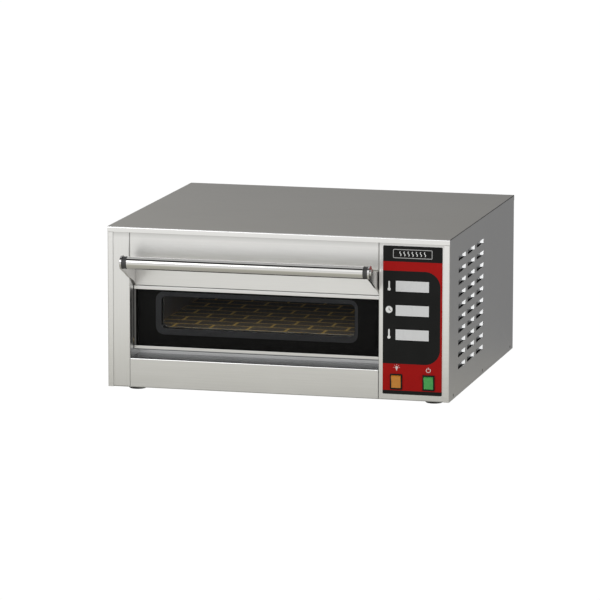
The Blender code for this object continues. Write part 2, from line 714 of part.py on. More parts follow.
def service_holes(bm):
    """Holes for the lamp, the probes and the element ends, through all that is right of the chamber."""
    start = CHAMBER_RIGHT - 2 * SHEET
    end = PARTITION_BACK_X + 2 * SHEET
    add_cylinder(bm, "X", (LAMP_Y, LAMP_Z), start, end, LAMP_RADIUS + GAP)
    for z in (ROOF - UPPER_PROBE_DROP, LOWER_ELEMENT_Z):
        add_cylinder(bm, "X", (PROBE_Y, z), start, end, PROBE_RADIUS + GAP, ROD_SEGMENTS)
    for z in (UPPER_ELEMENT_Z, LOWER_ELEMENT_Z):
        for y in (ELEMENT_FRONT_Y, ELEMENT_BACK_Y):
            add_cylinder(bm, "X", (y, z), start, end, ELEMENT_RADIUS + GAP, ROD_SEGMENTS)


def make_chamber(holes):
    steel = ((0.45, 0.45, 0.46), 0.45, 1)
    bottom = FLOOR_BOTTOM
    left, right = CHAMBER_LEFT - SHEET, CHAMBER_RIGHT + SHEET
    profile = [(left, bottom), (left, ROOF + SHEET), (right, ROOF + SHEET), (right, bottom)]
    shell = folded_sheet("chamber_shell", profile, "Y", CHAMBER_FRONT, CHAMBER_BACK, steel)
    boolean(shell, holes)
    box("chamber_back_wall", (left, CHAMBER_BACK + GAP, bottom),
        (right, CHAMBER_BACK + GAP + SHEET, ROOF + SHEET), steel)
    make_chamber_floor(steel)
    make_stone_deck()


def make_chamber_floor(look):
    """Tray under the deck. Its sides rise and fold in to carry the stone."""
    lip_z = DECK_BOTTOM - GAP
    left, right = CHAMBER_LEFT + GAP, CHAMBER_RIGHT - GAP
    profile = [(left + DECK_LIP, lip_z), (left, lip_z), (left, FLOOR_BOTTOM),
               (right, FLOOR_BOTTOM), (right, lip_z), (right - DECK_LIP, lip_z)]
    tray = folded_sheet("chamber_floor_tray", profile, "Y", CHAMBER_FRONT, CHAMBER_BACK, look)
    boolean(tray, cutter("tray_service_holes", tray_holes))


def tray_holes(bm):
    """Holes where the lower element and the lower probe cross the side of the tray."""
    ends = (CHAMBER_RIGHT - 3 * SHEET, CHAMBER_RIGHT + SHEET)
    rods = {ELEMENT_FRONT_Y: ELEMENT_RADIUS, ELEMENT_BACK_Y: ELEMENT_RADIUS, PROBE_Y: PROBE_RADIUS}
    for y, radius in rods.items():
        add_cylinder(bm, "X", (y, LOWER_ELEMENT_Z), *ends, radius + GAP, ROD_SEGMENTS)


def make_stone_deck():
    low = (CHAMBER_LEFT + DECK_CLEARANCE, CHAMBER_FRONT + DECK_CLEARANCE, DECK_BOTTOM)
    high = (CHAMBER_RIGHT - DECK_CLEARANCE, CHAMBER_BACK - DECK_CLEARANCE, DECK_TOP)
    box("stone_deck", low, high, ((0.10, 0.08, 0.05), 0.9, 0), rounding=0.001)


def element_path(z):
    """Straight runs across the chamber joined by half turns, with both ends out through the right wall."""
    pitch = (ELEMENT_BACK_Y - ELEMENT_FRONT_Y) / (ELEMENT_RUNS - 1)
    left = CHAMBER_LEFT + ELEMENT_MARGIN + pitch / 2
    right = CHAMBER_RIGHT - ELEMENT_MARGIN - pitch / 2
    end = PARTITION_BACK_X + TERMINAL_REACH / 2
    points = [(end, ELEMENT_FRONT_Y)]
    for run in range(ELEMENT_RUNS - 1):
        centre_y = ELEMENT_FRONT_Y + (run + 0.5) * pitch
        if run % 2 == 0:
            points += arc((left, centre_y), pitch / 2, -math.pi / 2, -3 * math.pi / 2, 8)
        else:
            points += arc((right, centre_y), pitch / 2, -math.pi / 2, math.pi / 2, 8)
    points.append((end, ELEMENT_BACK_Y))
    return [(x, y, z) for x, y in points]


def make_heating_elements():
    look = ((0.10, 0.09, 0.09), 0.5, 1)
    wire("upper_heating_element", element_path(UPPER_ELEMENT_Z), ELEMENT_RADIUS, look)
    wire("lower_heating_element", element_path(LOWER_ELEMENT_Z), ELEMENT_RADIUS, look)


def make_probes():
    ends = (CHAMBER_RIGHT - PROBE_REACH, PARTITION_BACK_X + TERMINAL_REACH / 2)
    for name, z in (("upper", ROOF - UPPER_PROBE_DROP), ("lower", LOWER_ELEMENT_Z)):
        bm = bmesh.new()
        add_cylinder(bm, "X", (PROBE_Y, z), *ends, PROBE_RADIUS, ROD_SEGMENTS)
        smooth(place(mesh_object(bm), name + "_temperature_probe", ((0.6, 0.6, 0.6), 0.3, 1)))


def make_lamp():
    """Oven lamp in the right wall: a cup with a flange in the chamber, a lens across it and a bulb inside."""
    centre = (LAMP_Y, LAMP_Z)
    mouth = CHAMBER_RIGHT - GAP
    flange = mouth - LAMP_WALL
    back = mouth + LAMP_DEPTH
    inner = LAMP_RADIUS - LAMP_WALL
    outer = LAMP_RADIUS + LAMP_FLANGE
    cup = [(0, back), (LAMP_RADIUS, back), (LAMP_RADIUS, mouth), (outer, mouth),
           (outer, flange), (inner, flange), (inner, back - LAMP_WALL), (0, back - LAMP_WALL)]
    turned("lamp_housing", cup, "X", centre, ((0.7, 0.7, 0.7), 0.4, 1))
    radius = inner - GAP
    lens_back = flange + LAMP_LENS_THICKNESS
    lens = [(0, lens_back), (radius, lens_back), (radius, flange), (0, flange)]
    turned("lamp_lens", lens, "X", centre, ((0.9, 0.9, 0.85), 0.1, 0))
    bulb_start = lens_back + BULB_CLEARANCE
    bm = bmesh.new()
    add_cylinder(bm, "X", centre, bulb_start, bulb_start + BULB_LENGTH, BULB_RADIUS, ROD_SEGMENTS)
    bulb = smooth(place(mesh_object(bm), "lamp_bulb", ((0.95, 0.9, 0.8), 0.1, 0)))
    bevelled(bulb, BULB_ROUNDING, 3)


def make_insulation(holes):
    look = (WOOL, 0.95, 0)
    left, right = CASE_LEFT + CASE_CLEARANCE, PARTITION_X - GAP
    back = CHAMBER_BACK
    jacket = box("insulation_jacket", (left, CHAMBER_FRONT, INNER_BASE), (right, back, INNER_TOP), look)

    def chamber_space(bm):
        inset = SHEET + GAP
        low = (CHAMBER_LEFT - inset, CHAMBER_FRONT - SHEET, BASE - SHEET)
        add_box(bm, low, (CHAMBER_RIGHT + inset, back + SHEET, ROOF + inset))

    boolean(jacket, cutter("chamber_space", chamber_space))
    boolean(jacket, holes)
    floor_top = FLOOR_BOTTOM - GAP
    box("insulation_floor", (CHAMBER_LEFT, CHAMBER_FRONT, INNER_BASE), (CHAMBER_RIGHT, back, floor_top), look)
    box("insulation_rear", (left, back + SHEET + 2 * GAP, INNER_BASE),
        (right, INNER_REAR - CASE_CLEARANCE, INNER_TOP), look)


def make_partition(holes):
    low = (PARTITION_X, CHAMBER_FRONT, INNER_BASE)
    high = (PARTITION_BACK_X, INNER_REAR - CASE_CLEARANCE, INNER_TOP)
    boolean(box("compartment_partition", low, high, (STEEL, 0.4, 1)), holes)


# Services in the control compartment ----------------------------------------------------------------------


def make_services():
    x = PARTITION_BACK_X + GAP
    width, length, height = TERMINAL_BLOCK
    low = Vector((x + width, REAR - 2 * length, INNER_BASE))
    box("terminal_block", low, low + Vector(TERMINAL_BLOCK), ((0.75, 0.72, 0.62), 0.5, 0), rounding=0.001)
    bm = bmesh.new()
    centre = (CHAMBER_BACK - 2 * LAMP_REAR_MARGIN, LAMP_Z)
    add_cylinder(bm, "X", centre, x, x + THERMOSTAT_DEPTH, THERMOSTAT_RADIUS, 24)
    smooth(place(mesh_object(bm), "safety_thermostat", ((0.7, 0.68, 0.6), 0.5, 0)))
    make_cable_gland()


def make_cable_gland():
    """Strain-relief gland through the rear panel, with an open bore for the supply cord."""
    inside = REAR - 2 * (SHEET + GAP) - GLAND_INSIDE
    outside = REAR + GLAND_REACH
    seat = REAR - SHEET
    mid = REAR + GLAND_REACH / 2
    step = GLAND_CHAMFER
    profile = [(GLAND_BORE_RADIUS, outside), (GLAND_THREAD_RADIUS - step, outside),
               (GLAND_RADIUS - step, mid), (GLAND_RADIUS, mid - 2 * step), (GLAND_RADIUS, seat),
               (GLAND_THREAD_RADIUS, seat), (GLAND_THREAD_RADIUS, inside), (GLAND_BORE_RADIUS, inside)]
    turned("cable_gland", profile, "Y", (RIGHT - GLAND_INSET, BASE + GLAND_RISE), (DARK, 0.5, 0), segments=24)


# Door -----------------------------------------------------------------------------------------------------


def make_door_outer_panel():
    """Upper band of the door: a shallow pan, open at the back and below."""
    bm = bmesh.new()
    add_box(bm, (DOOR_LEFT, DOOR_FACE, BAND_BOTTOM), (DOOR_RIGHT, DOOR_INNER_FACE - GAP, DOOR_TOP))
    bm.normal_update()
    open_sides = [face for face in bm.faces if face.normal.y > 0.9 or face.normal.z < -0.9]
    bmesh.ops.delete(bm, geom=open_sides, context="FACES")
    panel = place(mesh_object(bm), "door_outer_panel", (LIGHT_STEEL, 0.36, 1))
    return thicken(bevelled(panel, DOOR_CORNER), DOOR_SHEET)


def make_glass_rails():
    """Folded strips that hold the outer glass along its upper and lower edges."""
    back = DOOR_INNER_FACE - GAP
    look = (LIGHT_STEEL, 0.2, 1)
    profile = [(DOOR_FACE, UPPER_RAIL_BOTTOM), (DOOR_FACE, UPPER_RAIL_TOP), (back, UPPER_RAIL_TOP)]
    folded_sheet("upper_glass_rail", profile, "X", DOOR_LEFT, DOOR_RIGHT, look, DOOR_SHEET)
    profile = [(DOOR_FACE, LOWER_RAIL_TOP), (DOOR_FACE, DOOR_BOTTOM), (back, DOOR_BOTTOM)]
    folded_sheet("lower_glass_rail", profile, "X", DOOR_LEFT, DOOR_RIGHT, look, DOOR_SHEET)


def window_outline(grow=0.0):
    return rounded_rectangle(WINDOW_LEFT - grow, WINDOW_BOTTOM - grow, WINDOW_RIGHT + grow, WINDOW_TOP + grow,
                             WINDOW_RADIUS + grow)


def make_door_glazing():
    left, right = DOOR_LEFT + HINGE_PLATE + GAP, DOOR_RIGHT - HINGE_PLATE - GAP
    low = (left, GLASS_FACE, DOOR_BOTTOM + DOOR_SHEET + GAP)
    high = (right, GLASS_BACK, UPPER_RAIL_TOP - DOOR_SHEET - GAP)
    box("door_glass", low, high, (DARK, 0.05, 0), rounding=0.0005)
    frame_front = GLASS_BACK + GAP
    frame_back = frame_front + WINDOW_FRAME_DEPTH
    outline = window_outline(WINDOW_LAND)
    flat_piece("window_frame", [outline, window_outline()], "Y", frame_front, frame_back, (STEEL, 0.4, 1))
    look = ((0.8, 0.82, 0.8), 0.05, 0)
    flat_piece("inner_glass", [outline], "Y", frame_back + GAP, DOOR_INNER_FACE - GAP, look)


def make_door_inner_panel():
    outline = rounded_rectangle(DOOR_LEFT, DOOR_BOTTOM, DOOR_RIGHT, DOOR_TOP, DOOR_CORNER, 2)
    outlines = [outline, window_outline()]
    flat_piece("door_inner_panel", outlines, "Y", DOOR_INNER_FACE, DOOR_BACK, (STEEL, 0.4, 1))


def make_door_seal():
    """Rope seal on the back of the door, just outside the mouth of the chamber."""
    left, right = CHAMBER_LEFT + MOUTH_LIP, CHAMBER_RIGHT - MOUTH_LIP
    bottom, top = DECK_TOP - 2 * MOUTH_LIP, ROOF - MOUTH_LIP
    inner = rounded_rectangle(left, bottom, right, top, SEAL_CORNER, 3)
    outer = rounded_rectangle(left - SEAL_WIDTH, bottom - SEAL_WIDTH, right + SEAL_WIDTH, top + SEAL_WIDTH,
                              SEAL_CORNER + SEAL_WIDTH, 3)
    flat_piece("door_seal", [outer, inner], "Y", DOOR_BACK + GAP, FRAME_Y - SWING_CLEARANCE, (DARK, 0.9, 0))


def make_hinge_plates():
    """End plates of the door, each with the hinge pin that turns in the jamb."""
    pin_end = DOOR_LEFT - HINGE_PIN_LENGTH
    for side in ("left", "right"):
        low_x, high_x = span(mirror_x(DOOR_LEFT, side), mirror_x(DOOR_LEFT + HINGE_PLATE, side))
        low = (low_x, DOOR_FACE, LOWER_RAIL_TOP + GAP)
        high = (high_x, DOOR_INNER_FACE - GAP, UPPER_RAIL_BOTTOM - GAP)
        plate = box(f"{side}_hinge_plate", low, high, (DARK, 0.4, 1))

        def pin(bm, side=side):
            ends = span(mirror_x(pin_end, side), mirror_x(DOOR_LEFT + HINGE_PLATE / 2, side))
            add_cylinder(bm, "X", (HINGE_Y, HINGE_Z), *ends, HINGE_PIN_RADIUS, 24)

        boolean(plate, cutter(f"{side}_hinge_pin", pin), "UNION")


def make_hinge_bushes():
    """Flanged bushes pressed into the jambs from behind."""
    bore = HINGE_PIN_RADIUS + RUNNING_CLEARANCE
    barrel = bore + BUSH_WALL
    face = OPEN_LEFT
    inner = OPEN_LEFT - SHEET - GAP
    profile = [(bore, face), (barrel, face), (barrel, inner), (barrel + BUSH_FLANGE, inner),
               (barrel + BUSH_FLANGE, inner - SHEET), (bore, inner - SHEET)]
    for side in ("left", "right"):
        placed = [(radius, mirror_x(x, side)) for radius, x in profile]
        turned(f"{side}_hinge_bush", placed, "X", (HINGE_Y, HINGE_Z), (BRASS, 0.35, 1), segments=24)


def make_door_springs():
    """Torsion springs round the hinge pins, behind the jambs. They hold the door up against its handle."""
    radius = HINGE_PIN_RADIUS + SPRING_CLEARANCE + SPRING_WIRE
    start = OPEN_LEFT - 2 * (SHEET + GAP) - SPRING_WIRE - GAP
    steps = 10
    for side in ("left", "right"):
        points = [(start, radius, -SPRING_LEG)]
        for step in range(SPRING_TURNS * steps + 1):
            angle = 2 * math.pi * step / steps
            x = start - SPRING_PITCH * step / steps
            points.append((x, radius * math.cos(angle), radius * math.sin(angle)))
        last = points[-1]
        points.append((last[0], last[1], SPRING_LEG))
        placed = [(mirror_x(x, side), HINGE_Y + y, HINGE_Z + z) for x, y, z in points]
        wire(f"{side}_door_spring", placed, SPRING_WIRE, ((0.35, 0.35, 0.36), 0.35, 1))


def bent_edge(start, end, bend, steps):
    """Points on a curve between two corners. bend holds an offset from each of them that draws the curve."""
    pulls = [(corner[0] + pull[0], corner[1] + pull[1]) for corner, pull in zip((start, end), bend)]
    return [tuple(point) for point in interpolate_bezier(start, *pulls, end, steps)]


def bracket_outline():
    """Side view of a handle bracket: round about the tube, an S-curve below and a hollow curve above."""
    root_y = DOOR_FACE - GAP
    round_end = arc((HANDLE_Y, HANDLE_Z), BRACKET_END_RADIUS, math.radians(35), math.radians(248), 16)
    knee = (FRONT - BRACKET_KNEE_REACH, HANDLE_Z - BRACKET_KNEE_DROP)
    arm = bent_edge(round_end[-1], knee, BRACKET_ARM_BEND, 6)
    foot = bent_edge(knee, (root_y, BAND_BOTTOM), BRACKET_FOOT_BEND, 7)
    hollow = bent_edge((root_y, DOOR_TOP), round_end[0], BRACKET_HOLLOW_BEND, 7)
    return round_end + arm[1:] + foot[1:] + hollow[:-1]


def make_handle():
    """Polished tube between two black collars, screwed up between two brackets on the ends of the door."""
    centre = (HANDLE_Y, HANDLE_Z)
    hole = arc(centre, BRACKET_SCREW_RADIUS, 0, 2 * math.pi, 16)[:-1]
    collar_start = DOOR_LEFT + BRACKET_THICKNESS + GAP
    tube_start = collar_start + COLLAR_LENGTH + GAP
    for side in ("left", "right"):
        ends = span(mirror_x(DOOR_LEFT, side), mirror_x(DOOR_LEFT + BRACKET_THICKNESS, side))
        flat_piece(f"{side}_handle_bracket", [bracket_outline(), hole], "X", *ends, (STEEL, 0.25, 1))
        near, far = span(mirror_x(collar_start, side), mirror_x(collar_start + COLLAR_LENGTH, side))
        bore, outer = BRACKET_SCREW_RADIUS, COLLAR_RADIUS
        collar = [(bore, near), (outer, near), (outer, far), (bore, far)]
        turned(f"{side}_handle_collar", collar, "X", centre, (DARK, 0.5, 0))
    start, end = tube_start, mirror_x(tube_start, "right")
    bore = HANDLE_RADIUS - HANDLE_WALL
    tube = [(bore, start), (HANDLE_RADIUS, start), (HANDLE_RADIUS, end), (bore, end)]
    turned("handle_tube", tube, "X", centre, ((0.9, 0.9, 0.9), 0.08, 1), segments=32)


def hang_door():
    """All that swings is parented to an empty on the hinge line."""
    axis = bpy.data.objects.new("door_hinge_axis", None)
    axis.location = (0, HINGE_Y, HINGE_Z)
    bpy.data.collections["countertop_pizza_oven"].objects.link(axis)
    bpy.context.view_layer.update()
    swinging = ["door_outer_panel", "upper_glass_rail", "lower_glass_rail", "door_glass", "window_frame",
                "inner_glass", "door_inner_panel", "door_seal", "handle_tube"]
    for side in ("left", "right"):
        swinging += [f"{side}_hinge_plate", f"{side}_handle_bracket", f"{side}_handle_collar"]
    for name in swinging:
        piece = bpy.data.objects[name]
        piece.parent = axis
        piece.matrix_parent_inverse = axis.matrix_world.inverted()


def make_casing():
    make_top_cover()
    make_side_panel("left_side_panel", LEFT, 1)
    make_right_side_panel()
    make_base_pan()
    make_feet()
    make_rear_panel()
    make_front_sheets()


def make_control_column():
    make_control_overlay()
    make_displays()
    make_control_board()
    make_switches()


def make_inside():
    holes = cutter("service_holes", service_holes)
    make_chamber_front_frame()
    make_chamber(holes)
    make_heating_elements()
    make_probes()
    make_lamp()
    make_insulation(holes)
    make_partition(holes)
    make_services()


def make_door():
    make_door_outer_panel()
    make_glass_rails()
    make_door_glazing()
    make_door_inner_panel()
    make_door_seal()
    make_hinge_plates()
    make_hinge_bushes()
    make_door_springs()
    make_handle()
    hang_door()


clear_scene()
make_casing()
make_control_column()
make_inside()
make_door()
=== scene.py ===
import json
import math

import bmesh
import bpy
from mathutils import Matrix, Vector

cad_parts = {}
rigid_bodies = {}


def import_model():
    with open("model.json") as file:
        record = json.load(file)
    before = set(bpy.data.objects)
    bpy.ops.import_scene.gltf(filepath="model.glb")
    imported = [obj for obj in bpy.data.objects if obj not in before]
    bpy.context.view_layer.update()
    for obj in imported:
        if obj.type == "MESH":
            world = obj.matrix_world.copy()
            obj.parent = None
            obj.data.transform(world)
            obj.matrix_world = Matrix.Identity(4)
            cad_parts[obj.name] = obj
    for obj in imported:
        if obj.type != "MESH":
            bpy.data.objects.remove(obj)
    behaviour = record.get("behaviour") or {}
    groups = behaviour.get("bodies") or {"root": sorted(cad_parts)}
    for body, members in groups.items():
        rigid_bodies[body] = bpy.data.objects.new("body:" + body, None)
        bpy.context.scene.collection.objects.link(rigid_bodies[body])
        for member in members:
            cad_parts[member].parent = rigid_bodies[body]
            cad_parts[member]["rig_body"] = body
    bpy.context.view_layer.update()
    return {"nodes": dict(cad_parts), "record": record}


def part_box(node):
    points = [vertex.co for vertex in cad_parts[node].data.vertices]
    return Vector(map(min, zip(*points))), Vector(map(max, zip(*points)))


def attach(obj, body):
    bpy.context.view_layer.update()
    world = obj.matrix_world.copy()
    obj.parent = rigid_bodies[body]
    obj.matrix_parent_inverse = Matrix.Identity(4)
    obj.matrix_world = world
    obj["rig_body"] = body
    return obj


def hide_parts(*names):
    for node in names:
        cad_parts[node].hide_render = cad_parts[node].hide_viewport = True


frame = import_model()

NODES = frame["nodes"]

# ----------------------------------------------------------
# Bench work: how a piece is started, opened, cut, softened and put away
# ----------------------------------------------------------


def put_down():
    """Leave nothing selected, so that the next operator works on its own piece only."""
    if bpy.context.object and bpy.context.object.mode != "OBJECT":
        bpy.ops.object.mode_set(mode="OBJECT")
    bpy.ops.object.select_all(action="DESELECT")


def take(piece):
    put_down()
    piece.select_set(True)
    bpy.context.view_layer.objects.active = piece
    return piece


def started(name):
    """Name the primitive just added and put its place into its mesh."""
    piece = bpy.context.object
    piece.name = piece.data.name = name
    take(piece)
    bpy.ops.object.transform_apply(location=True, rotation=True, scale=True)
    return piece


def block(name, low, high):
    low, high = Vector(low), Vector(high)
    put_down()
    bpy.ops.mesh.primitive_cube_add(size=1, location=(low + high) / 2, scale=high - low)
    return started(name)


TURNS = {"X": (0, math.pi / 2, 0), "Y": (math.pi / 2, 0, 0), "Z": (0, 0, 0)}


def rod(name, axis, centre, start, end, radius, sides=48):
    """A round bar along an axis. centre gives the other two coordinates."""
    middle = list(centre)
    middle.insert("XYZ".index(axis), (start + end) / 2)
    put_down()
    bpy.ops.mesh.primitive_cylinder_add(vertices=sides, radius=radius, depth=end - start,
                                        location=middle, rotation=TURNS[axis])
    return started(name)


def open_up(piece, faces=None, edges=None):
    """Open a piece for editing, with the faces or the edges that pass a test selected."""
    take(piece)
    bpy.ops.object.mode_set(mode="EDIT")
    bpy.ops.mesh.select_mode(type="EDGE" if edges else "FACE")
    bpy.ops.mesh.select_all(action="DESELECT")
    shape = bmesh.from_edit_mesh(piece.data)
    shape.normal_update()
    if faces:
        for face in shape.faces:
            face.select_set(faces(face.calc_center_median(), face.normal))
    if edges:
        for edge in shape.edges:
            edge.select_set(edges(edge.verts[0].co, edge.verts[1].co))
    bmesh.update_edit_mesh(piece.data)


def close_up():
    bpy.ops.object.mode_set(mode="OBJECT")


def modify(piece, kind, **settings):
    take(piece)
    modifier = piece.modifiers.new(kind.lower(), kind)
    for key, value in settings.items():
        setattr(modifier, key, value)
    bpy.ops.object.modifier_apply(modifier=modifier.name)
    return piece


def smooth(piece, angle=32):
    take(piece)
    bpy.ops.object.shade_smooth_by_angle(angle=math.radians(angle))
    return piece


def soften(piece, width, segments=2, angle=35):
    """Round every sharp edge a little, and keep the flats flat."""
    smooth(piece, angle)
    return modify(piece, "BEVEL", width=width, segments=segments, limit_method="ANGLE",
                  angle_limit=math.radians(angle), harden_normals=True)


def cut(piece, tool):
    """Cut a tool's shape out of a piece, and throw the tool away."""
    modify(piece, "BOOLEAN", operation="DIFFERENCE", solver="EXACT", object=tool)
    bpy.data.objects.remove(tool, do_unlink=True)
    return piece


def copied(piece, name, move=(0, 0, 0), turn=None):
    """A copy with its own mesh, turned about the origin and then moved."""
    twin = piece.copy()
    twin.data = piece.data.copy()
    twin.name = twin.data.name = name
    bpy.context.scene.collection.objects.link(twin)
    if turn:
        twin.data.transform(turn)
    twin.data.transform(Matrix.Translation(move))
    return twin


def joined(name, pieces):
    put_down()
    for piece in pieces:
        piece.select_set(True)
    bpy.context.view_layer.objects.active = pieces[0]
    bpy.ops.object.join()
    pieces[0].name = pieces[0].data.name = name
    return pieces[0]


def fitted(piece, body, finish, replaces=()):
    """Hand a finished piece over: its finish, the body it moves with and the node that it stands for."""
    piece.data.materials.clear()
    piece.data.materials.append(finish)
    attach(piece, body)
    if replaces:
        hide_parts(*replaces)
    return piece


def merged(node, name):
    """A copy of a node with its loose triangles joined and its flats made whole."""
    piece = bpy.data.objects.new(name, NODES[node].data.copy())
    piece.data.name = name
    bpy.context.scene.collection.objects.link(piece)
    take(piece)
    bpy.ops.object.mode_set(mode="EDIT")
    bpy.ops.mesh.select_all(action="SELECT")
    bpy.ops.mesh.remove_doubles(threshold=2e-6)
    bpy.ops.mesh.dissolve_limited(angle_limit=math.radians(0.6))
    close_up()
    return piece


def refined(node, finish, width=0.00025, segments=2):
    """A node's own shape with its edges softened, standing for the node."""
    piece = merged(node, node + "_finished")
    if width:
        soften(piece, width, segments)
    else:
        smooth(piece)
    return fitted(piece, NODES[node]["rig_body"], finish, [node])


# ----------------------------------------------------------
# Finishes
# ----------------------------------------------------------


def plug(tree, value, target):
    """Join an output to a socket, or set the socket to a value."""
    if isinstance(value, bpy.types.NodeSocket):
        tree.links.new(value, target)
    else:
        target.default_value = value


def added(tree, kind, inputs=None, **settings):
    """A new node with its settings made and its sockets set or joined."""
    node = tree.nodes.new(kind)
    for key, value in settings.items():
        setattr(node, key, value)
    for key, value in (inputs or {}).items():
        plug(tree, value, node.inputs[key])
    return node


class Finish:
    """A material and short ways to add what varies it."""

    def __init__(self, name, colour, roughness, metallic=0.0, **sockets):
        self.material = bpy.data.materials.new(name)
        self.material.use_nodes = True
        self.tree = self.material.node_tree
        self.shader = self.tree.nodes["Principled BSDF"]
        self.set(**{"Base Color": (*colour, 1), "Roughness": roughness, "Metallic": metallic}, **sockets)
        self.place = added(self.tree, "ShaderNodeTexCoord").outputs["Object"]

    def set(self, **sockets):
        for key, value in sockets.items():
            self.shader.inputs[key.replace("_", " ")].default_value = value

    def feed(self, output, socket):
        plug(self.tree, output, self.shader.inputs[socket])

    def mapped(self, scale=(1, 1, 1), rotation=(0, 0, 0)):
        node = added(self.tree, "ShaderNodeMapping",
                     {"Scale": scale, "Rotation": rotation, "Vector": self.place})
        return node.outputs["Vector"]

    def noise(self, scale=(1, 1, 1), detail=3.0, roughness=0.55):
        node = added(self.tree, "ShaderNodeTexNoise", {"Scale": 1.0, "Detail": detail, "Roughness": roughness,
                                                       "Vector": self.mapped(scale)})
        return node.outputs["Fac"]

    def maths(self, operation, *values):
        return added(self.tree, "ShaderNodeMath", dict(enumerate(values)), operation=operation).outputs[0]

    def ramp(self, value, low, high, start=0.0, end=1.0):
        node = added(self.tree, "ShaderNodeMapRange", {"From Min": low, "From Max": high, "To Min": start,
                                                       "To Max": end, "Value": value})
        return node.outputs["Result"]

    def blend(self, factor, one, other):
        one, other = ((*colour, 1) if isinstance(colour, tuple) else colour for colour in (one, other))
        return added(self.tree, "ShaderNodeMix", {0: factor, 6: one, 7: other}, data_type="RGBA").outputs[2]

    def times(self, colour, share):
        """A colour darkened by a fixed share."""
        return added(self.tree, "ShaderNodeMix", {0: 1.0, 6: colour, 7: (share, share, share, 1)},
                     data_type="RGBA", blend_type="MULTIPLY").outputs[2]

    def bump(self, height, strength, distance):
        node = added(self.tree, "ShaderNodeBump",
                     {"Strength": strength, "Distance": distance, "Height": height})
        self.feed(node.outputs["Normal"], "Normal")

    def axes(self):
        return added(self.tree, "ShaderNodeSeparateXYZ", {0: self.place}).outputs


def shade(colour, factor):
    return tuple(min(1.0, channel * factor) for channel in colour)


def brushed_steel(name, colour, roughness, grain, scratch=0.05, spread=0.06, smudge=0.08, painted_shade=None):
    """Sheet brushed one way: long fine streaks, clouded by handling, with a few faint rub marks.
    painted_shade gives an axis, where painted shade starts and ends along it, and the share of the tone left
    at the end."""
    finish = Finish(name, colour, roughness, 1.0)
    stretch = {"X": (9, 900, 900), "Y": (900, 9, 900), "Z": (900, 900, 9)}[grain]
    streak = finish.noise(stretch, 2.0, 0.6)
    cloud = finish.noise((7, 7, 9), 4.0, 0.6)
    rub = finish.ramp(finish.noise((34, 30, 38), 5.0, 0.7), 0.56, 0.80)
    tone = finish.blend(finish.ramp(streak, 0.3, 0.7), shade(colour, 1 - spread), shade(colour, 1 + spread))
    tone = finish.blend(finish.ramp(cloud, 0.35, 0.75, 0, smudge), tone, shade(colour, 0.80))
    # painted shade: the tone is darkened along each axis given
    for axis, start, end, share in painted_shade or ():
        along = finish.ramp(finish.axes()["XYZ".index(axis)], start, end)
        tone = finish.blend(along, tone, finish.times(tone, share))
    finish.feed(tone, "Base Color")
    gloss = finish.maths("MULTIPLY_ADD", streak, 0.12, roughness - 0.06)
    finish.feed(finish.maths("MULTIPLY_ADD", rub, 0.06, finish.maths("MULTIPLY_ADD", cloud, 0.05, gloss)),
                "Roughness")
    finish.bump(streak, scratch, 0.00008)
    return finish.material


def polished_metal(name, colour, roughness, tint=(0.5, 0.5, 0.5)):
    """Bright metal with fine wipe marks and a little haze."""
    finish = Finish(name, colour, roughness, 1.0)
    wipe = finish.noise((12, 420, 420), 3.0, 0.6)
    haze = finish.noise((26, 60, 60), 4.0, 0.6)
    finish.feed(finish.blend(finish.ramp(haze, 0.45, 0.8, 0, 0.22), colour, tint), "Base Color")
    dulled = finish.maths("MULTIPLY_ADD", haze, 0.05, max(0.0, roughness - 0.03))
    finish.feed(finish.maths("MULTIPLY_ADD", wipe, 0.035, dulled), "Roughness")
    finish.bump(wipe, 0.02, 0.00005)
    return finish.material


def moulded(name, colour, roughness, grain=1600, depth=0.0001, strength=0.35, dust=0.12, shine=0.5):
    """Plastic or rubber with the fine grain of its mould, dusty in places."""
    finish = Finish(name, colour, roughness, Specular_IOR_Level=shine)
    fine = finish.noise((grain, grain, grain), 2.0, 0.5)
    cloud = finish.noise((45, 45, 45), 4.0, 0.6)
    pale = tuple(channel + 0.05 for channel in colour)
    finish.feed(finish.blend(finish.ramp(cloud, 0.45, 0.8, 0, dust), colour, pale), "Base Color")
    finish.feed(finish.maths("MULTIPLY_ADD", cloud, 0.16, roughness - 0.08), "Roughness")
    finish.bump(fine, strength, depth)
    return finish.material


def heat_tinted(name, colour, roughness, tint, share=0.5):
    """Metal that has been hot: straw and blue clouds over the sheet, and a dull bloom."""
    finish = Finish(name, colour, roughness, 1.0)
    cloud = finish.noise((16, 16, 22), 5.0, 0.62)
    fine = finish.noise((300, 300, 300), 3.0, 0.6)
    finish.feed(finish.blend(finish.ramp(cloud, 0.38, 0.72, 0, share), colour, tint), "Base Color")
    finish.feed(finish.maths("MULTIPLY_ADD", fine, 0.2, roughness - 0.08), "Roughness")
    finish.bump(fine, 0.12, 0.0001)
    return finish.material


def fibrous(name, colour, dark, roughness, scale):
    """Wool or rope: tangled fibres standing up from the surface."""
    finish = Finish(name, colour, roughness)
    strand = finish.noise((scale, scale * 5, scale), 5.0, 0.75)
    clump = finish.noise((scale / 5, scale / 5, scale / 5), 3.0, 0.6)
    finish.feed(finish.blend(finish.ramp(clump, 0.3, 0.7), dark, colour), "Base Color")
    finish.bump(strand, 0.8, 0.0008)
    return finish.material


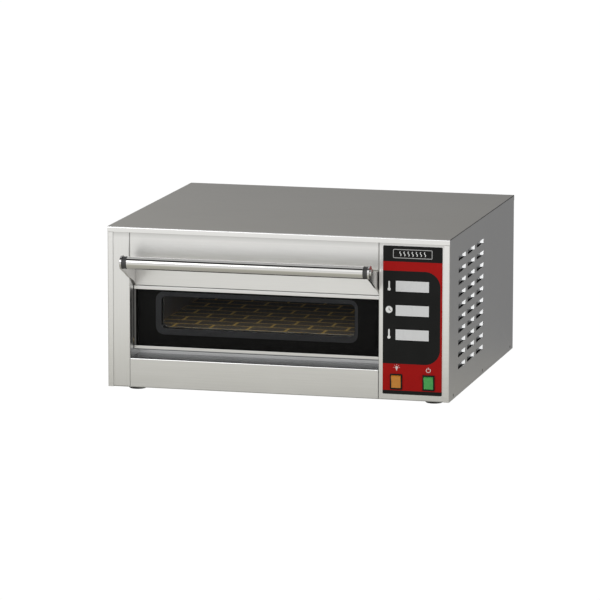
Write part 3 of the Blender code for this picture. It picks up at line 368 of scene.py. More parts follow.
def glazed(name, tint, clear, roughness, shine=0.5):
    """Flat glass: mostly seen through when square on, a mirror when seen along it, with wipe marks."""
    finish = Finish(name, tint, roughness, Specular_IOR_Level=shine)
    smear = finish.noise((18, 18, 60), 5.0, 0.65)
    finish.feed(finish.maths("MULTIPLY_ADD", smear, 0.06, max(0.0, roughness - 0.02)), "Roughness")
    finish.feed(finish.blend(finish.ramp(smear, 0.5, 0.8, 0, 0.3), tint, shade(tint, 1.6)), "Base Color")
    edge = added(finish.tree, "ShaderNodeFresnel", {"IOR": 1.45})
    finish.feed(finish.ramp(edge.outputs[0], 0.04, 0.6, 1 - clear, 1.0), "Alpha")
    return finish.material


def printed_film(name, field, upper_band, lower_band):
    """Control film: black, with a red field round a black panel whose right corners are rounded.
    field gives the panel's right edge, its lower and upper edge and the radius of its corners."""
    black, red = (0.0125, 0.0128, 0.0126), (0.365, 0.0085, 0.0080)
    finish = Finish(name, black, 0.42, Specular_IOR_Level=0.06)
    x, _, z = finish.axes()
    fine = finish.noise((2200, 2200, 2200), 2.0, 0.5)
    cloud = finish.noise((30, 30, 24), 4.0, 0.6)
    wide, low, high, radius = field
    half_z = (high - low) / 2 - radius
    from_middle = finish.maths("ABSOLUTE", finish.maths("SUBTRACT", z, (high + low) / 2))
    past_flat = finish.maths("SUBTRACT", from_middle, half_z)
    past_corner = finish.maths("MAXIMUM", finish.maths("SUBTRACT", x, wide - radius), 0.0)
    past_end = finish.maths("MAXIMUM", past_flat, 0.0)
    reach = finish.maths("SQRT", finish.maths("ADD", finish.maths("MULTIPLY", past_corner, past_corner),
                                              finish.maths("MULTIPLY", past_end, past_end)))
    outside = finish.maths("GREATER_THAN", reach, radius)
    inside_red = finish.maths("MULTIPLY", finish.maths("GREATER_THAN", z, lower_band),
                              finish.maths("LESS_THAN", z, upper_band))
    mask = finish.maths("MULTIPLY", outside, inside_red)
    worn_red = finish.blend(finish.ramp(cloud, 0.4, 0.75), red, shade(red, 0.9))
    worn_black = finish.blend(finish.ramp(cloud, 0.4, 0.75), black, shade(black, 1.25))
    finish.feed(finish.blend(mask, worn_black, worn_red), "Base Color")
    finish.feed(finish.maths("MULTIPLY_ADD", cloud, 0.12, 0.36), "Roughness")
    finish.bump(fine, 0.12, 0.00006)
    return finish.material


def lit_window(name, colour, rim):
    """Unlit display: pale grey, with the faint segment columns of its cells under the lens."""
    finish = Finish(name, colour, 0.28)
    column = finish.noise((900, 60, 60), 2.0, 0.5)
    cloud = finish.noise((60, 60, 60), 3.0, 0.5)
    finish.feed(finish.blend(finish.ramp(column, 0.35, 0.7, 0, 0.35), colour, rim), "Base Color")
    finish.feed(finish.maths("MULTIPLY_ADD", cloud, 0.12, 0.22), "Roughness")
    finish.bump(column, 0.02, 0.00005)
    return finish.material


def tinted_plastic(name, colour, deep, painted_glow):
    """Translucent rocker: brighter where it is thin, with a soft polish, light scuffs and a faint painted
    glow.
    """
    finish = Finish(name, colour, 0.3, Subsurface_Weight=0.12, Subsurface_Scale=0.002, Coat_Weight=0.2)
    cloud = finish.noise((120, 120, 120), 3.0, 0.6)
    scuff = finish.noise((700, 700, 260), 4.0, 0.7)
    finish.feed(finish.blend(finish.ramp(cloud, 0.35, 0.7), colour, deep), "Base Color")
    finish.feed(finish.maths("MULTIPLY_ADD", scuff, 0.18, 0.24), "Roughness")
    # painted glow: the rocker gives off its own colour as faint light
    finish.set(Emission_Color=(*colour, 1), Emission_Strength=painted_glow)
    finish.bump(scuff, 0.04, 0.00005)
    return finish.material


def fired_brick(name, colour, light, scale=260):
    """Cordierite: close sandy grain, scorched in patches."""
    finish = Finish(name, colour, 0.85)
    sand = finish.noise((scale * 4, scale * 4, scale * 4), 3.0, 0.6)
    scorch = finish.noise((22, 22, 22), 5.0, 0.65)
    base = finish.blend(finish.ramp(scorch, 0.35, 0.7), colour, light)
    finish.feed(finish.blend(finish.ramp(sand, 0.4, 0.75, 0, 0.4), base, shade(light, 1.3)), "Base Color")
    finish.feed(finish.maths("MULTIPLY_ADD", sand, 0.2, 0.72), "Roughness")
    finish.bump(sand, 0.5, 0.0004)
    return finish.material


def circuit_board(name):
    finish = Finish(name, (0.02, 0.16, 0.06), 0.42)
    track = added(finish.tree, "ShaderNodeTexBrick", {
        "Scale": 1.0, "Brick Width": 0.009, "Row Height": 0.0032, "Mortar Size": 0.0004,
        "Color1": (0.015, 0.13, 0.05, 1), "Color2": (0.02, 0.17, 0.07, 1), "Mortar": (0.32, 0.24, 0.08, 1),
        "Vector": finish.mapped(rotation=(math.pi / 2, 0, 0))})
    finish.feed(track.outputs["Color"], "Base Color")
    finish.bump(track.outputs["Fac"], 0.2, 0.0001)
    return finish.material


# ----------------------------------------------------------
# Sizes read from the frame
# ----------------------------------------------------------

COVER_LOW, COVER_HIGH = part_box("top_cover")
LEFT, RIGHT = COVER_LOW.x, COVER_HIGH.x
FRONT, REAR = COVER_LOW.y, COVER_HIGH.y
TOP = COVER_HIGH.z
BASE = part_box("base_pan")[0].z
INK_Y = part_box("control_overlay")[0].y

# painted shade: a darker copy of the casing steel for the top, made darker still towards the right and the
# rear
STEEL_TOP = brushed_steel("brushed_top_steel", (0.73, 0.712, 0.668), 0.34, "X", 0.03, 0.04, 0.06,
                          (("X", LEFT, RIGHT, 0.80), ("Y", FRONT, REAR, 0.92)))
# painted shade: the side sheets take a darker copy of the casing steel, for the lesser light on the sides
STEEL_SIDE = brushed_steel("brushed_side_steel", (0.62, 0.62, 0.62), 0.38, "Z", 0.03, 0.03, 0.05)
# painted shade: a dark copy of the side steel, for the shade inside each pressed louvre
STEEL_SHADED_SCOOP = brushed_steel("shaded_louvre_steel", (0.22, 0.225, 0.23), 0.30, "Y", 0.02, 0.04, 0.05)
STEEL_LEDGE = brushed_steel("shaded_ledge_steel", (0.24, 0.25, 0.265), 0.22, "X", 0.03, 0.05, 0.1)
# painted light: a brighter copy of the casing steel for faces that look forward and catch the front light
STEEL_LIT_RIM = brushed_steel("painted_light_rim_steel", (0.82, 0.82, 0.815), 0.32, "X", 0.01, 0.02, 0.03)
# painted highlight: near-white steel for the louvre ends that catch the light
STEEL_LOUVRE_HIGHLIGHT = brushed_steel("painted_highlight_louvre_end", (0.93, 0.94, 0.95), 0.40, "Z", 0.02, 0.02, 0.03)
# painted shade: near-black steel for sheet edges, standing for the shadow in the seam
SHADED_SHEET_EDGE = brushed_steel("shaded_sheet_edge", (0.055, 0.055, 0.055), 0.5, "Y", 0.05, 0.1, 0.2)
STEEL_FRONT = brushed_steel("satin_front_steel", (0.80, 0.80, 0.795), 0.34, "X", 0.02, 0.02, 0.04)
# painted shade: the front steel darkened along its top, under the overhang of the cover's rim
STEEL_HEAD = brushed_steel("satin_head_steel", (0.80, 0.80, 0.795), 0.34, "X", 0.02, 0.02, 0.04,
                           (("Z", TOP - 0.0175, TOP - 0.0105, 0.80),))
STEEL_UPRIGHT = brushed_steel("satin_upright_steel", (0.80, 0.80, 0.795), 0.34, "Z", 0.02, 0.02, 0.04,
                              (("Z", TOP - 0.0175, TOP - 0.0105, 0.80),))
STEEL_INNER = brushed_steel("plain_inner_steel", (0.52, 0.52, 0.51), 0.42, "X", 0.05, 0.08, 0.2)
STEEL_CHAMBER = heat_tinted("heat_toned_chamber_steel", (0.46, 0.47, 0.49), 0.42, (0.40, 0.33, 0.24))
CHROME = polished_metal("chromed_handle_tube", (0.68, 0.675, 0.66), 0.05, (0.60, 0.585, 0.55))
BRACKET = polished_metal("polished_bracket_steel", (0.60, 0.59, 0.585), 0.20, (0.45, 0.43, 0.42))
SCREW = polished_metal("zinc_plated_screw", (0.62, 0.62, 0.60), 0.25)
DARK_SCREW = polished_metal("blackened_screw", (0.030, 0.030, 0.030), 0.45, (0.015, 0.015, 0.015))
HINGE = polished_metal("dark_hinge_steel", (0.16, 0.16, 0.16), 0.34, (0.08, 0.08, 0.08))
BLACK = moulded("black_moulded_plastic", (0.010, 0.010, 0.011), 0.42, shine=0.12)
COLLAR = moulded("black_handle_collar", (0.040, 0.040, 0.041), 0.46)
RUBBER = moulded("black_foot_rubber", (0.020, 0.020, 0.019), 0.78, 900, 0.0003, 0.6)
ENAMEL = moulded("black_window_enamel", (0.0160, 0.0160, 0.0160), 0.30, 2400, 0.00003, 0.1, 0.01, 0.06)
RING = moulded("grey_window_bead", (0.105, 0.109, 0.118), 0.45, 1500, 0.00005, 0.2, 0.1, 0.2)
SEAL = fibrous("woven_door_seal", (0.10, 0.10, 0.095), (0.035, 0.035, 0.033), 0.92, 900)
WOOL = fibrous("mineral_wool", (0.70, 0.66, 0.52), (0.52, 0.47, 0.33), 0.97, 220)
OUTER_GLASS = glazed("smoked_door_glass", (0.013, 0.013, 0.0135), 0.82, 0.04, 0.05)
INNER_GLASS = glazed("clear_inner_glass", (0.03, 0.032, 0.034), 0.93, 0.05, 0.05)
LENS_GLASS = glazed("lamp_lens_glass", (0.62, 0.62, 0.58), 0.45, 0.08)
BULB_GLASS = glazed("lamp_bulb_glass", (0.80, 0.74, 0.60), 0.35, 0.06)
DISPLAY = lit_window("grey_display_lens", (0.64, 0.65, 0.665), (0.70, 0.71, 0.725))
DISPLAY_RIM = moulded("display_lens_edge", (0.74, 0.75, 0.765), 0.35, 1800, 0.00004, 0.1, 0.05)
ORANGE = tinted_plastic("orange_rocker_plastic", (0.56, 0.225, 0.028), (0.50, 0.195, 0.024), 0.06)
GREEN = tinted_plastic("green_rocker_plastic", (0.066, 0.37, 0.090), (0.050, 0.31, 0.075), 0.06)
WHITE_INK = moulded("white_print", (0.76, 0.77, 0.77), 0.5, 2600, 0.00002, 0.15, 0.1)
GREY_INK = moulded("grey_print", (0.42, 0.42, 0.42), 0.5, 2600, 0.00002, 0.15, 0.1)
ROSE_INK = moulded("pale_print", (0.66, 0.58, 0.58), 0.5, 2600, 0.00002, 0.15, 0.1)
BRICK = fired_brick("scorched_deck_brick", (0.042, 0.038, 0.031), (0.068, 0.057, 0.043))
MORTAR = fired_brick("golden_deck_mortar", (0.36, 0.24, 0.055), (0.44, 0.30, 0.085))
ELEMENT = heat_tinted("oxidised_element_sheath", (0.13, 0.12, 0.115), 0.55, (0.20, 0.12, 0.08), 0.6)
PROBE = polished_metal("bright_probe_steel", (0.66, 0.66, 0.65), 0.22)
BRASS = polished_metal("turned_bush_brass", (0.60, 0.43, 0.15), 0.26, (0.40, 0.26, 0.09))
SPRING = polished_metal("drawn_spring_wire", (0.38, 0.38, 0.385), 0.3, (0.25, 0.24, 0.24))
CERAMIC = moulded("cream_ceramic", (0.74, 0.70, 0.58), 0.48, 1100, 0.0001, 0.3)
BOARD = circuit_board("green_board_laminate")

SLOT_FINISHES = {
    "casing_steel": STEEL_INNER, "front_steel": STEEL_FRONT, "chamber_steel": STEEL_CHAMBER,
    "handle_chrome": CHROME, "bracket_steel": BRACKET, "black_plastic": BLACK, "foot_rubber": RUBBER,
    "seal_rubber": SEAL, "display_lens": DISPLAY, "orange_rocker": ORANGE, "green_rocker": GREEN,
    "board_laminate": BOARD, "black_glass": OUTER_GLASS, "clear_glass": INNER_GLASS, "deck_stone": MORTAR,
    "element_sheath": ELEMENT, "probe_steel": PROBE, "mineral_wool": WOOL, "bush_brass": BRASS,
    "spring_steel": SPRING, "hinge_steel": HINGE, "cream_ceramic": CERAMIC, "bulb_glass": BULB_GLASS}


# ----------------------------------------------------------
# Casing
# ----------------------------------------------------------


def two_toned(piece, finish, faces):
    """Give a second finish to the faces that pass a test."""
    piece.data.materials.append(finish)
    for face in piece.data.polygons:
        if faces(face.center, face.normal):
            face.material_index = 1
    return piece


def fronted(piece):
    """Painted light: the lip that faces forward, and the bend that leads to it, take a brighter steel close
    to the front's, for the light that falls on the front.
    """
    return two_toned(piece, STEEL_LIT_RIM, lambda c, n: n.y < -0.3 and c.y < FRONT + 0.004)


def make_casing_sheets():
    cover = fronted(refined("top_cover", STEEL_TOP, 0.0003))
    # painted shade: the cover's left and right edge faces take the near-black steel, for the dark seam line
    cover.data.materials.append(SHADED_SHEET_EDGE)
    for face in cover.data.polygons:
        if abs(face.normal.x) > 0.6:
            face.material_index = 2
    refined("base_pan", STEEL_INNER, 0)
    refined("left_front_pillar", STEEL_UPRIGHT, 0.0007, 3)
    refined("top_front_panel", STEEL_HEAD, 0.0007, 3)
    lower = refined("lower_front_panel", STEEL_FRONT, 0.0001)
    two_toned(lower, STEEL_LEDGE, lambda c, n: n.z > 0.5)
    refined("control_fascia", STEEL_UPRIGHT, 0.0010, 3)


SCREW_RADIUS = 0.0030
SUNK_DEPTH = 0.0009
SUNK_BY = 0.0002
SCREW_HEIGHT = 0.0062
SCREW_REACHES = (0.033, 0.254, 0.476)
CROSS_DEPTH, CROSS_LENGTH, CROSS_WIDTH = 0.0005, 0.0016, 0.00035


def side_screw_places():
    """Three screws along the lower edge of each side, measured from the front."""
    return [(FRONT + reach, BASE + SCREW_HEIGHT) for reach in SCREW_REACHES]


def sunk_screw(name):
    """Countersunk screw facing +X, its face at the origin: a cone with a rounded rim and a cross recess."""
    put_down()
    bpy.ops.mesh.primitive_cone_add(vertices=32, radius1=SCREW_RADIUS * 0.45, radius2=SCREW_RADIUS - 0.0002,
                                    depth=SUNK_DEPTH, location=(-SUNK_DEPTH / 2, 0, 0), rotation=TURNS["X"])
    screw = started(name)
    for across, upright in ((CROSS_WIDTH, CROSS_LENGTH), (CROSS_LENGTH, CROSS_WIDTH)):
        half = Vector((CROSS_DEPTH, across, upright))
        cut(screw, block("cross", -half, half))
    return soften(screw, 0.00008)


def sink_screws(panel, wall, facing, side):
    """Countersinks along the lower edge of a side panel, with a screw just below the surface of each."""
    master = sunk_screw("screw_master")
    turn = Matrix.Identity(4) if facing > 0 else Matrix.Rotation(math.pi, 4, "Z")
    screws = []
    for number, (y, z) in enumerate(side_screw_places()):
        put_down()
        bpy.ops.mesh.primitive_cone_add(vertices=32, radius1=SCREW_RADIUS * 0.5, radius2=SCREW_RADIUS * 1.4,
                                        depth=0.0020, location=(wall, y, z),
                                        rotation=(0, facing * math.pi / 2, 0))
        cut(panel, started("countersink"))
        screws.append(copied(master, f"{side}_screw_{number}", (wall - facing * SUNK_BY, y, z), turn))
    bpy.data.objects.remove(master, do_unlink=True)
    fitted(joined(f"{side}_side_screws", screws), "casing", DARK_SCREW)


LOUVRE_DEPTH = 0.0065
LOUVRE_BEND = 0.0040
LOUVRE_LEAN = 0.0016
LOUVRE_DRAFT = 0.0034
LOUVRE_SET_BACK = 0.0005
LOUVRE_GAP = 0.0002
LOUVRE_SHEET = 0.0008


def louvre_slots():
    """Edges of the slots in the right side, found from the slots' own corners in the node."""
    corners = [v.co for v in NODES["right_side_panel"].data.vertices]
    inner = [c for c in corners if c.x > RIGHT - 0.0001 and FRONT + 0.02 < c.y < REAR - 0.02
             and BASE + 0.02 < c.z < TOP - 0.02]
    ys = sorted({round(c.y, 5) for c in inner})
    zs = sorted({round(c.z, 5) for c in inner})
    columns = [(ys[i], ys[i + 1]) for i in range(0, len(ys) - 1, 2)]
    rows = [(zs[i], zs[i + 1]) for i in range(0, len(zs) - 1, 2)]
    return columns, rows


def make_louvre(name, length, height):
    """One pressed louvre about the origin: a hood pressed inward, open along the bottom, whose rear end leans
    forward as it goes in. Formed from a block, then hollowed."""
    hood = block(name, (-LOUVRE_DEPTH, -length / 2, 0), (0, length / 2, height))
    for vertex in hood.data.vertices:
        if vertex.co.z < height / 2:
            vertex.co.y -= LOUVRE_LEAN if vertex.co.y > 0 else 0
            vertex.co.x *= 0.7
        if vertex.co.x < -0.0001 and vertex.co.y > 0:
            vertex.co.y -= LOUVRE_DRAFT
    open_up(hood, edges=lambda a, b: max(a.x, b.x) < -0.9 * LOUVRE_DEPTH and min(a.z, b.z) > 0.9 * height)
    bpy.ops.mesh.bevel(offset=LOUVRE_BEND, segments=5, affect="EDGES")
    close_up()
    open_up(hood, faces=lambda c, n: (n.z < -0.9 and c.z < 1e-5) or (n.x > 0.9 and c.x > -1e-5))
    bpy.ops.mesh.delete(type="FACE")
    bpy.ops.mesh.select_all(action="SELECT")
    bpy.ops.mesh.normals_make_consistent(inside=False)
    close_up()
    modify(hood, "SOLIDIFY", thickness=LOUVRE_SHEET, offset=-1)
    return smooth(hood, 35)


def make_right_side():
    """Right side sheet with its pressed louvres and its three screws."""
    panel = merged("right_side_panel", "right_side_panel_finished")
    sink_screws(panel, RIGHT, 1, "right")
    soften(panel, 0.0003)
    fronted(fitted(panel, "casing", STEEL_SIDE, ["right_side_panel"]))
    columns, rows = louvre_slots()
    length = columns[0][1] - columns[0][0] - 2 * LOUVRE_GAP
    height = rows[0][1] - rows[0][0] - 2 * LOUVRE_GAP
    master = make_louvre("louvre_master", length, height)
    pressed = []
    for column in columns:
        for row in rows:
            place = (RIGHT - LOUVRE_SET_BACK, sum(column) / 2, row[0] + LOUVRE_GAP)
            pressed.append(copied(master, f"louvre_{len(pressed)}", place))
    bpy.data.objects.remove(master, do_unlink=True)
    # painted shade: the louvres take the dark steel, for the shade in their pockets
    louvres = fitted(joined("pressed_louvres", pressed), "casing", STEEL_SHADED_SCOOP)
    # painted highlight: the rear ends that face forward take the near-white steel
    two_toned(louvres, STEEL_LOUVRE_HIGHLIGHT, lambda c, n: n.y < -0.6)


def make_left_side():
    panel = merged("left_side_panel", "left_side_panel_finished")
    sink_screws(panel, LEFT, -1, "left")
    soften(panel, 0.0003)
    fronted(fitted(panel, "casing", STEEL_SIDE, ["left_side_panel"]))


def pan_screw(name, radius, height, slot_width):
    """Pan-head screw facing -Y with a cross recess, its seat at the origin."""
    head = rod(name, "Y", (0, 0), -height, 0, radius, 32)
    open_up(head, edges=lambda a, b: abs(a.y + height) < 1e-6 and abs(b.y + height) < 1e-6)
    bpy.ops.mesh.bevel(offset=height * 0.6, segments=4, affect="EDGES")
    close_up()
    middle = Vector((0, -height, 0))
    long, short = radius * 0.62, slot_width / 2
    for across, upright in ((short, long), (long, short)):
        half = Vector((across, height * 0.5, upright))
        cut(head, block("cross", middle - half, middle + half))
    return smooth(head, 30)


REAR_SCREW_INSET = 0.012
REAR_SCREW_RADIUS, REAR_SCREW_HEIGHT, REAR_SCREW_SLOT = 0.0036, 0.0013, 0.0008


def make_rear():
    """Rear sheet with the screws round its edge."""
    refined("rear_panel", STEEL_INNER, 0.0003)
    low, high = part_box("rear_panel")
    across = (low.x + REAR_SCREW_INSET, (low.x + high.x) / 2, high.x - REAR_SCREW_INSET)
    upright = (low.z + REAR_SCREW_INSET, (low.z + high.z) / 2, high.z - REAR_SCREW_INSET)
    places = [(x, z) for x in across for z in upright if not (x == across[1] and z == upright[1])]
    master = pan_screw("rear_master", REAR_SCREW_RADIUS, REAR_SCREW_HEIGHT, REAR_SCREW_SLOT)
    turn = Matrix.Rotation(math.pi, 4, "Z")
    screws = [copied(master, f"rear_screw_{n}", (x, high.y, z), turn) for n, (x, z) in enumerate(places)]
    bpy.data.objects.remove(master, do_unlink=True)
    fitted(joined("rear_panel_screws", screws), "casing", SCREW)


def make_gland():
    """Cable gland: the turned body, with a hexagon nut against the rear sheet."""
    refined("cable_gland", BLACK, 0.0003)
    low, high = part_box("cable_gland")
    centre = ((low.x + high.x) / 2, (low.z + high.z) / 2)
    radius = (high.x - low.x) / 2
    nut = rod("gland_nut", "Y", centre, REAR + 0.0004, REAR + 0.0046, radius * 1.16, 6)
    cut(nut, rod("bore", "Y", centre, REAR - 0.01, REAR + 0.02, radius + 0.0002, 48))
    fitted(soften(nut, 0.0004), "casing", BLACK)


def make_feet():
    """Moulded rubber feet with their edges rounded."""
    for node in ("front_left_foot", "front_right_foot", "rear_left_foot", "rear_right_foot"):
        refined(node, RUBBER, 0.0005, 3)


# ----------------------------------------------------------
# Control column
# ----------------------------------------------------------


FILM_PANEL = (RIGHT - 0.0150, BASE + 0.0588, BASE + 0.2075, 0.025)
RED_TOP = BASE + 0.2223
RED_BOTTOM = BASE + 0.0160


def make_overlay():
    film = printed_film("printed_control_film", FILM_PANEL, RED_TOP, RED_BOTTOM)
    for slot in NODES["control_overlay"].material_slots:
        slot.material = film


def make_displays():
    """Display lenses: a black edge, a bright lip just inside it, and a pane sunk a little behind the lip."""
    for node in ("upper_heat_display", "timer_display", "lower_heat_display"):
        lens = merged(node, node + "_lens")
        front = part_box(node)[0].y
        open_up(lens, faces=lambda centre, normal: normal.y < -0.9 and centre.y < front + 0.0002)
        bpy.ops.mesh.inset(thickness=0.0006, depth=0)
        close_up()
        fitted(smooth(lens, 30), "casing", BLACK, [node])
        low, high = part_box(node)
        pane = block(node + "_pane", (low.x + 0.0008, front - 0.0001, low.z + 0.0008),
                     (high.x - 0.0008, front + 0.0002, high.z - 0.0008))
        open_up(pane, faces=lambda centre, normal: normal.y < -0.9)
        bpy.ops.mesh.inset(thickness=0.0006, depth=0)
        bpy.ops.mesh.inset(thickness=0.0001, depth=-0.00006)
        close_up()
        fitted(smooth(pane, 30), "casing", DISPLAY_RIM)
        two_toned(pane, DISPLAY, lambda c, n: n.y < -0.9 and c.y > front - 0.00007)


def make_switches():
    """Bezels with rounded rims, and rockers with a soft saddle and rounded edges."""
    for use, slot, finish in (("light", "orange_rocker", ORANGE), ("power", "green_rocker", GREEN)):
        refined(use + "_switch_housing", BLACK, 0.0004, 3)
        node = use + "_switch_rocker"
        rocker = soften(merged(node, use + "_rocker_finished"), 0.0007, 3)
        fitted(rocker, NODES[node]["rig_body"], finish, [node])


INK_FLATTEN = 0.03
SYMBOL_X = 0.1823
HANDS_LIFT = 0.0075


def ink_stroke(name, points, width, closed=False):
    """A printed line: a round bead along the points, in the plane of the film, to be pressed flat."""
    put_down()
    curve = bpy.data.curves.new(name, "CURVE")
    curve.dimensions = "3D"
    curve.bevel_depth = width / 2
    curve.bevel_resolution = 3
    curve.use_fill_caps = True
    spline = curve.splines.new("POLY")
    spline.points.add(len(points) - 1)
    for point, (x, z) in zip(spline.points, points):
        point.co = (x, 0, z, 1)
    spline.use_cyclic_u = closed
    stroke = bpy.data.objects.new(name, curve)
    bpy.context.scene.collection.objects.link(stroke)
    take(stroke)
    bpy.ops.object.convert(target="MESH")
    return bpy.context.object


def ink_dot(name, x, z, radius):
    put_down()
    bpy.ops.mesh.primitive_uv_sphere_add(segments=24, ring_count=12, radius=radius, location=(x, 0, z))
    return started(name)


def ring_points(x, z, radius, start=0.0, end=360.0, steps=36):
    angles = [math.radians(start + (end - start) * step / steps) for step in range(steps + 1)]
    return [(x + radius * math.cos(angle), z + radius * math.sin(angle)) for angle in angles]


def printed(name, parts, centre, ink, level=0):
    """Press the parts of a symbol flat on the film at its centre."""
    symbol = joined(name, parts)
    symbol.data.transform(Matrix.Diagonal((1, INK_FLATTEN, 1, 1)))
    symbol.data.transform(Matrix.Translation((centre[0], INK_Y - 0.00002 - level * 0.00005, centre[1])))
    smooth(symbol, 60)
    return fitted(symbol, "casing", ink)


def thermometer(name, centre, height=0.0157):
    bottom, top = -height / 2, height / 2
    stem = ink_stroke("stem", [(0, bottom + 0.003), (0, top - 0.0013)], 0.0026)
    parts = [stem, ink_dot("bulb", 0, bottom + 0.0026, 0.0026), ink_dot("tip", 0, top - 0.0013, 0.0013)]
    return printed(name, parts, centre, WHITE_INK)


def make_symbols():
    """Generic symbols: heat, time, light and power, and a plate with rising heat."""
    thermometer("upper_heat_symbol", (SYMBOL_X, BASE + 0.1832))
    thermometer("lower_heat_symbol", (SYMBOL_X, BASE + 0.1062))
    clock_at = (SYMBOL_X, BASE + 0.1452)
    printed("timer_symbol_face", [ink_dot("face", 0, 0, 0.0056)], clock_at, WHITE_INK)
    hands = ink_stroke("hands", [(0, 0.0030), (0, 0), (0.0027, -0.0016)], 0.0011)
    hands.data.transform(Matrix.Translation((0, -HANDS_LIFT, 0)))
    printed("timer_symbol_hands", [hands], clock_at, BLACK)
    lamp_at = (0.1950, BASE + 0.0515)
    lamp = [ink_dot("globe", 0, 0.0012, 0.0023), ink_stroke("neck", [(0, 0), (0, -0.0034)], 0.0019)]
    for step in range(5):
        angle = math.radians(step * 45)
        near, far = 0.0034, 0.0052
        lamp.append(ink_stroke("ray", [(near * math.cos(angle), 0.0014 + near * math.sin(angle)),
                                       (far * math.cos(angle), 0.0014 + far * math.sin(angle))], 0.0006))
    printed("lamp_symbol", lamp, lamp_at, ROSE_INK)
    power = [ink_stroke("ring", ring_points(0, -0.0006, 0.0033, 122, 418), 0.0012),
             ink_stroke("bar", [(0, 0.0006), (0, 0.0040)], 0.0012)]
    printed("power_symbol", power, (0.2463, BASE + 0.0508), ROSE_INK)
    make_header_plate()


def make_header_plate():
    x, z = 0.2200, BASE + 0.2349
    half_x, half_z, corner = 0.0312, 0.0067, 0.0014
    outline = []
    for sx, sz, start in ((1, 1, 0), (-1, 1, 90), (-1, -1, 180), (1, -1, 270)):
        outline += ring_points(sx * (half_x - corner), sz * (half_z - corner), corner, start, start + 90, 6)
    printed("header_border", [ink_stroke("border", outline, 0.0011, True)], (x, z), GREY_INK)
    waves = []
    for step in range(-3, 4):
        points = [(step * 0.0066 + 0.0011 * math.sin(t / 12 * 2 * math.pi), -0.0036 + 0.0072 * t / 12)
                  for t in range(13)]
        waves.append(ink_stroke("wave", points, 0.0012))
    printed("header_heat_waves", waves, (x, z), WHITE_INK)


# ----------------------------------------------------------
# Door
# ----------------------------------------------------------


def rounded_block(name, low, high, radius, segments=10):
    """A block whose four edges along Y are rounded."""
    piece = block(name, low, high)
    open_up(piece, edges=lambda a, b: abs(a.x - b.x) < 1e-7 and abs(a.z - b.z) < 1e-7)
    bpy.ops.mesh.bevel(offset=radius, segments=segments, affect="EDGES")
    close_up()
    return piece


WINDOW_LEFT, WINDOW_RIGHT = -0.2078, 0.1255
WINDOW_BOTTOM, WINDOW_TOP = BASE + 0.0834, BASE + 0.1530
WINDOW_CORNER = 0.0135


def make_window_print():
    """Black enamel on the back of the outer glass, with the window left clear in it."""
    low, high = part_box("door_glass")
    back = high.y
    sheet = block("window_enamel", (low.x + 0.0005, back + 0.00005, low.z + 0.0005),
                  (high.x - 0.0005, back + 0.00022, high.z - 0.0005))
    opening = rounded_block("opening", (WINDOW_LEFT, back - 0.01, WINDOW_BOTTOM),
                            (WINDOW_RIGHT, back + 0.01, WINDOW_TOP), WINDOW_CORNER)
    fitted(cut(sheet, opening), "door", ENAMEL)


def make_door():
    for node in ("door_outer_panel", "upper_glass_rail", "lower_glass_rail"):
        refined(node, STEEL_FRONT, 0.0003)
    glass = refined("door_glass", OUTER_GLASS, 0.0003)
    two_toned(glass, ENAMEL, lambda c, n: abs(n.y) < 0.9)
    frame_piece = refined("window_frame", RING, 0.0024, 4)
    # painted light: the frame's lower, upward-facing faces take the bright rim steel, for the light from
    # above
    two_toned(frame_piece, STEEL_LIT_RIM, lambda c, n: n.z > 0.25 and c.z < BASE + 0.1)
    refined("inner_glass", INNER_GLASS, 0.0003)
    refined("door_inner_panel", STEEL_INNER, 0.0003)
    for side in ("left", "right"):
        refined(f"{side}_hinge_plate", HINGE, 0.0003)
    refined("door_seal", SEAL, 0.0016, 4)
    make_window_print()


def make_tube():
    """Handle tube: drawn smooth, its ends turned in and hollow."""
    low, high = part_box("handle_tube")
    radius = (high.z - low.z) / 2
    centre = ((low.y + high.y) / 2, (low.z + high.z) / 2)
    tube = rod("handle_tube_finished", "X", centre, low.x, high.x, radius, 96)
    open_up(tube, faces=lambda middle, normal: abs(normal.x) > 0.9)
    bpy.ops.mesh.inset(thickness=0.0015, depth=0)
    bpy.ops.mesh.inset(thickness=0.0001, depth=-0.012)
    close_up()
    soften(tube, 0.0004, 2, 50)
    fitted(tube, "door", CHROME, ["handle_tube"])
    return centre


GROOVE_SHARE = 0.955


def make_collar(side, centre):
    """Moulded spacer between the tube and its bracket: a shallow groove turned round the middle."""
    node = f"{side}_handle_collar"
    low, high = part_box(node)
    collar = rod(node + "_finished", "X", centre, low.x, high.x, (high.z - low.z) / 2, 80)
    middle = (low.x + high.x) / 2
    open_up(collar)
    for x in (middle - 0.0007, middle + 0.0007):
        bpy.ops.mesh.select_all(action="SELECT")
        bpy.ops.mesh.bisect(plane_co=(x, 0, 0), plane_no=(1, 0, 0))
    close_up()
    for vertex in collar.data.vertices:
        if abs(vertex.co.x - middle) < 0.0009:
            vertex.co.y = centre[0] + (vertex.co.y - centre[0]) * GROOVE_SHARE
            vertex.co.z = centre[1] + (vertex.co.z - centre[1]) * GROOVE_SHARE
    soften(collar, 0.0004, 2, 40)
    fitted(collar, "door", COLLAR, [node])


HEAD_RADIUS, HEAD_HEIGHT = 0.0052, 0.0024
SOCKET_RADIUS, SOCKET_DEPTH = 0.0023, 0.0016


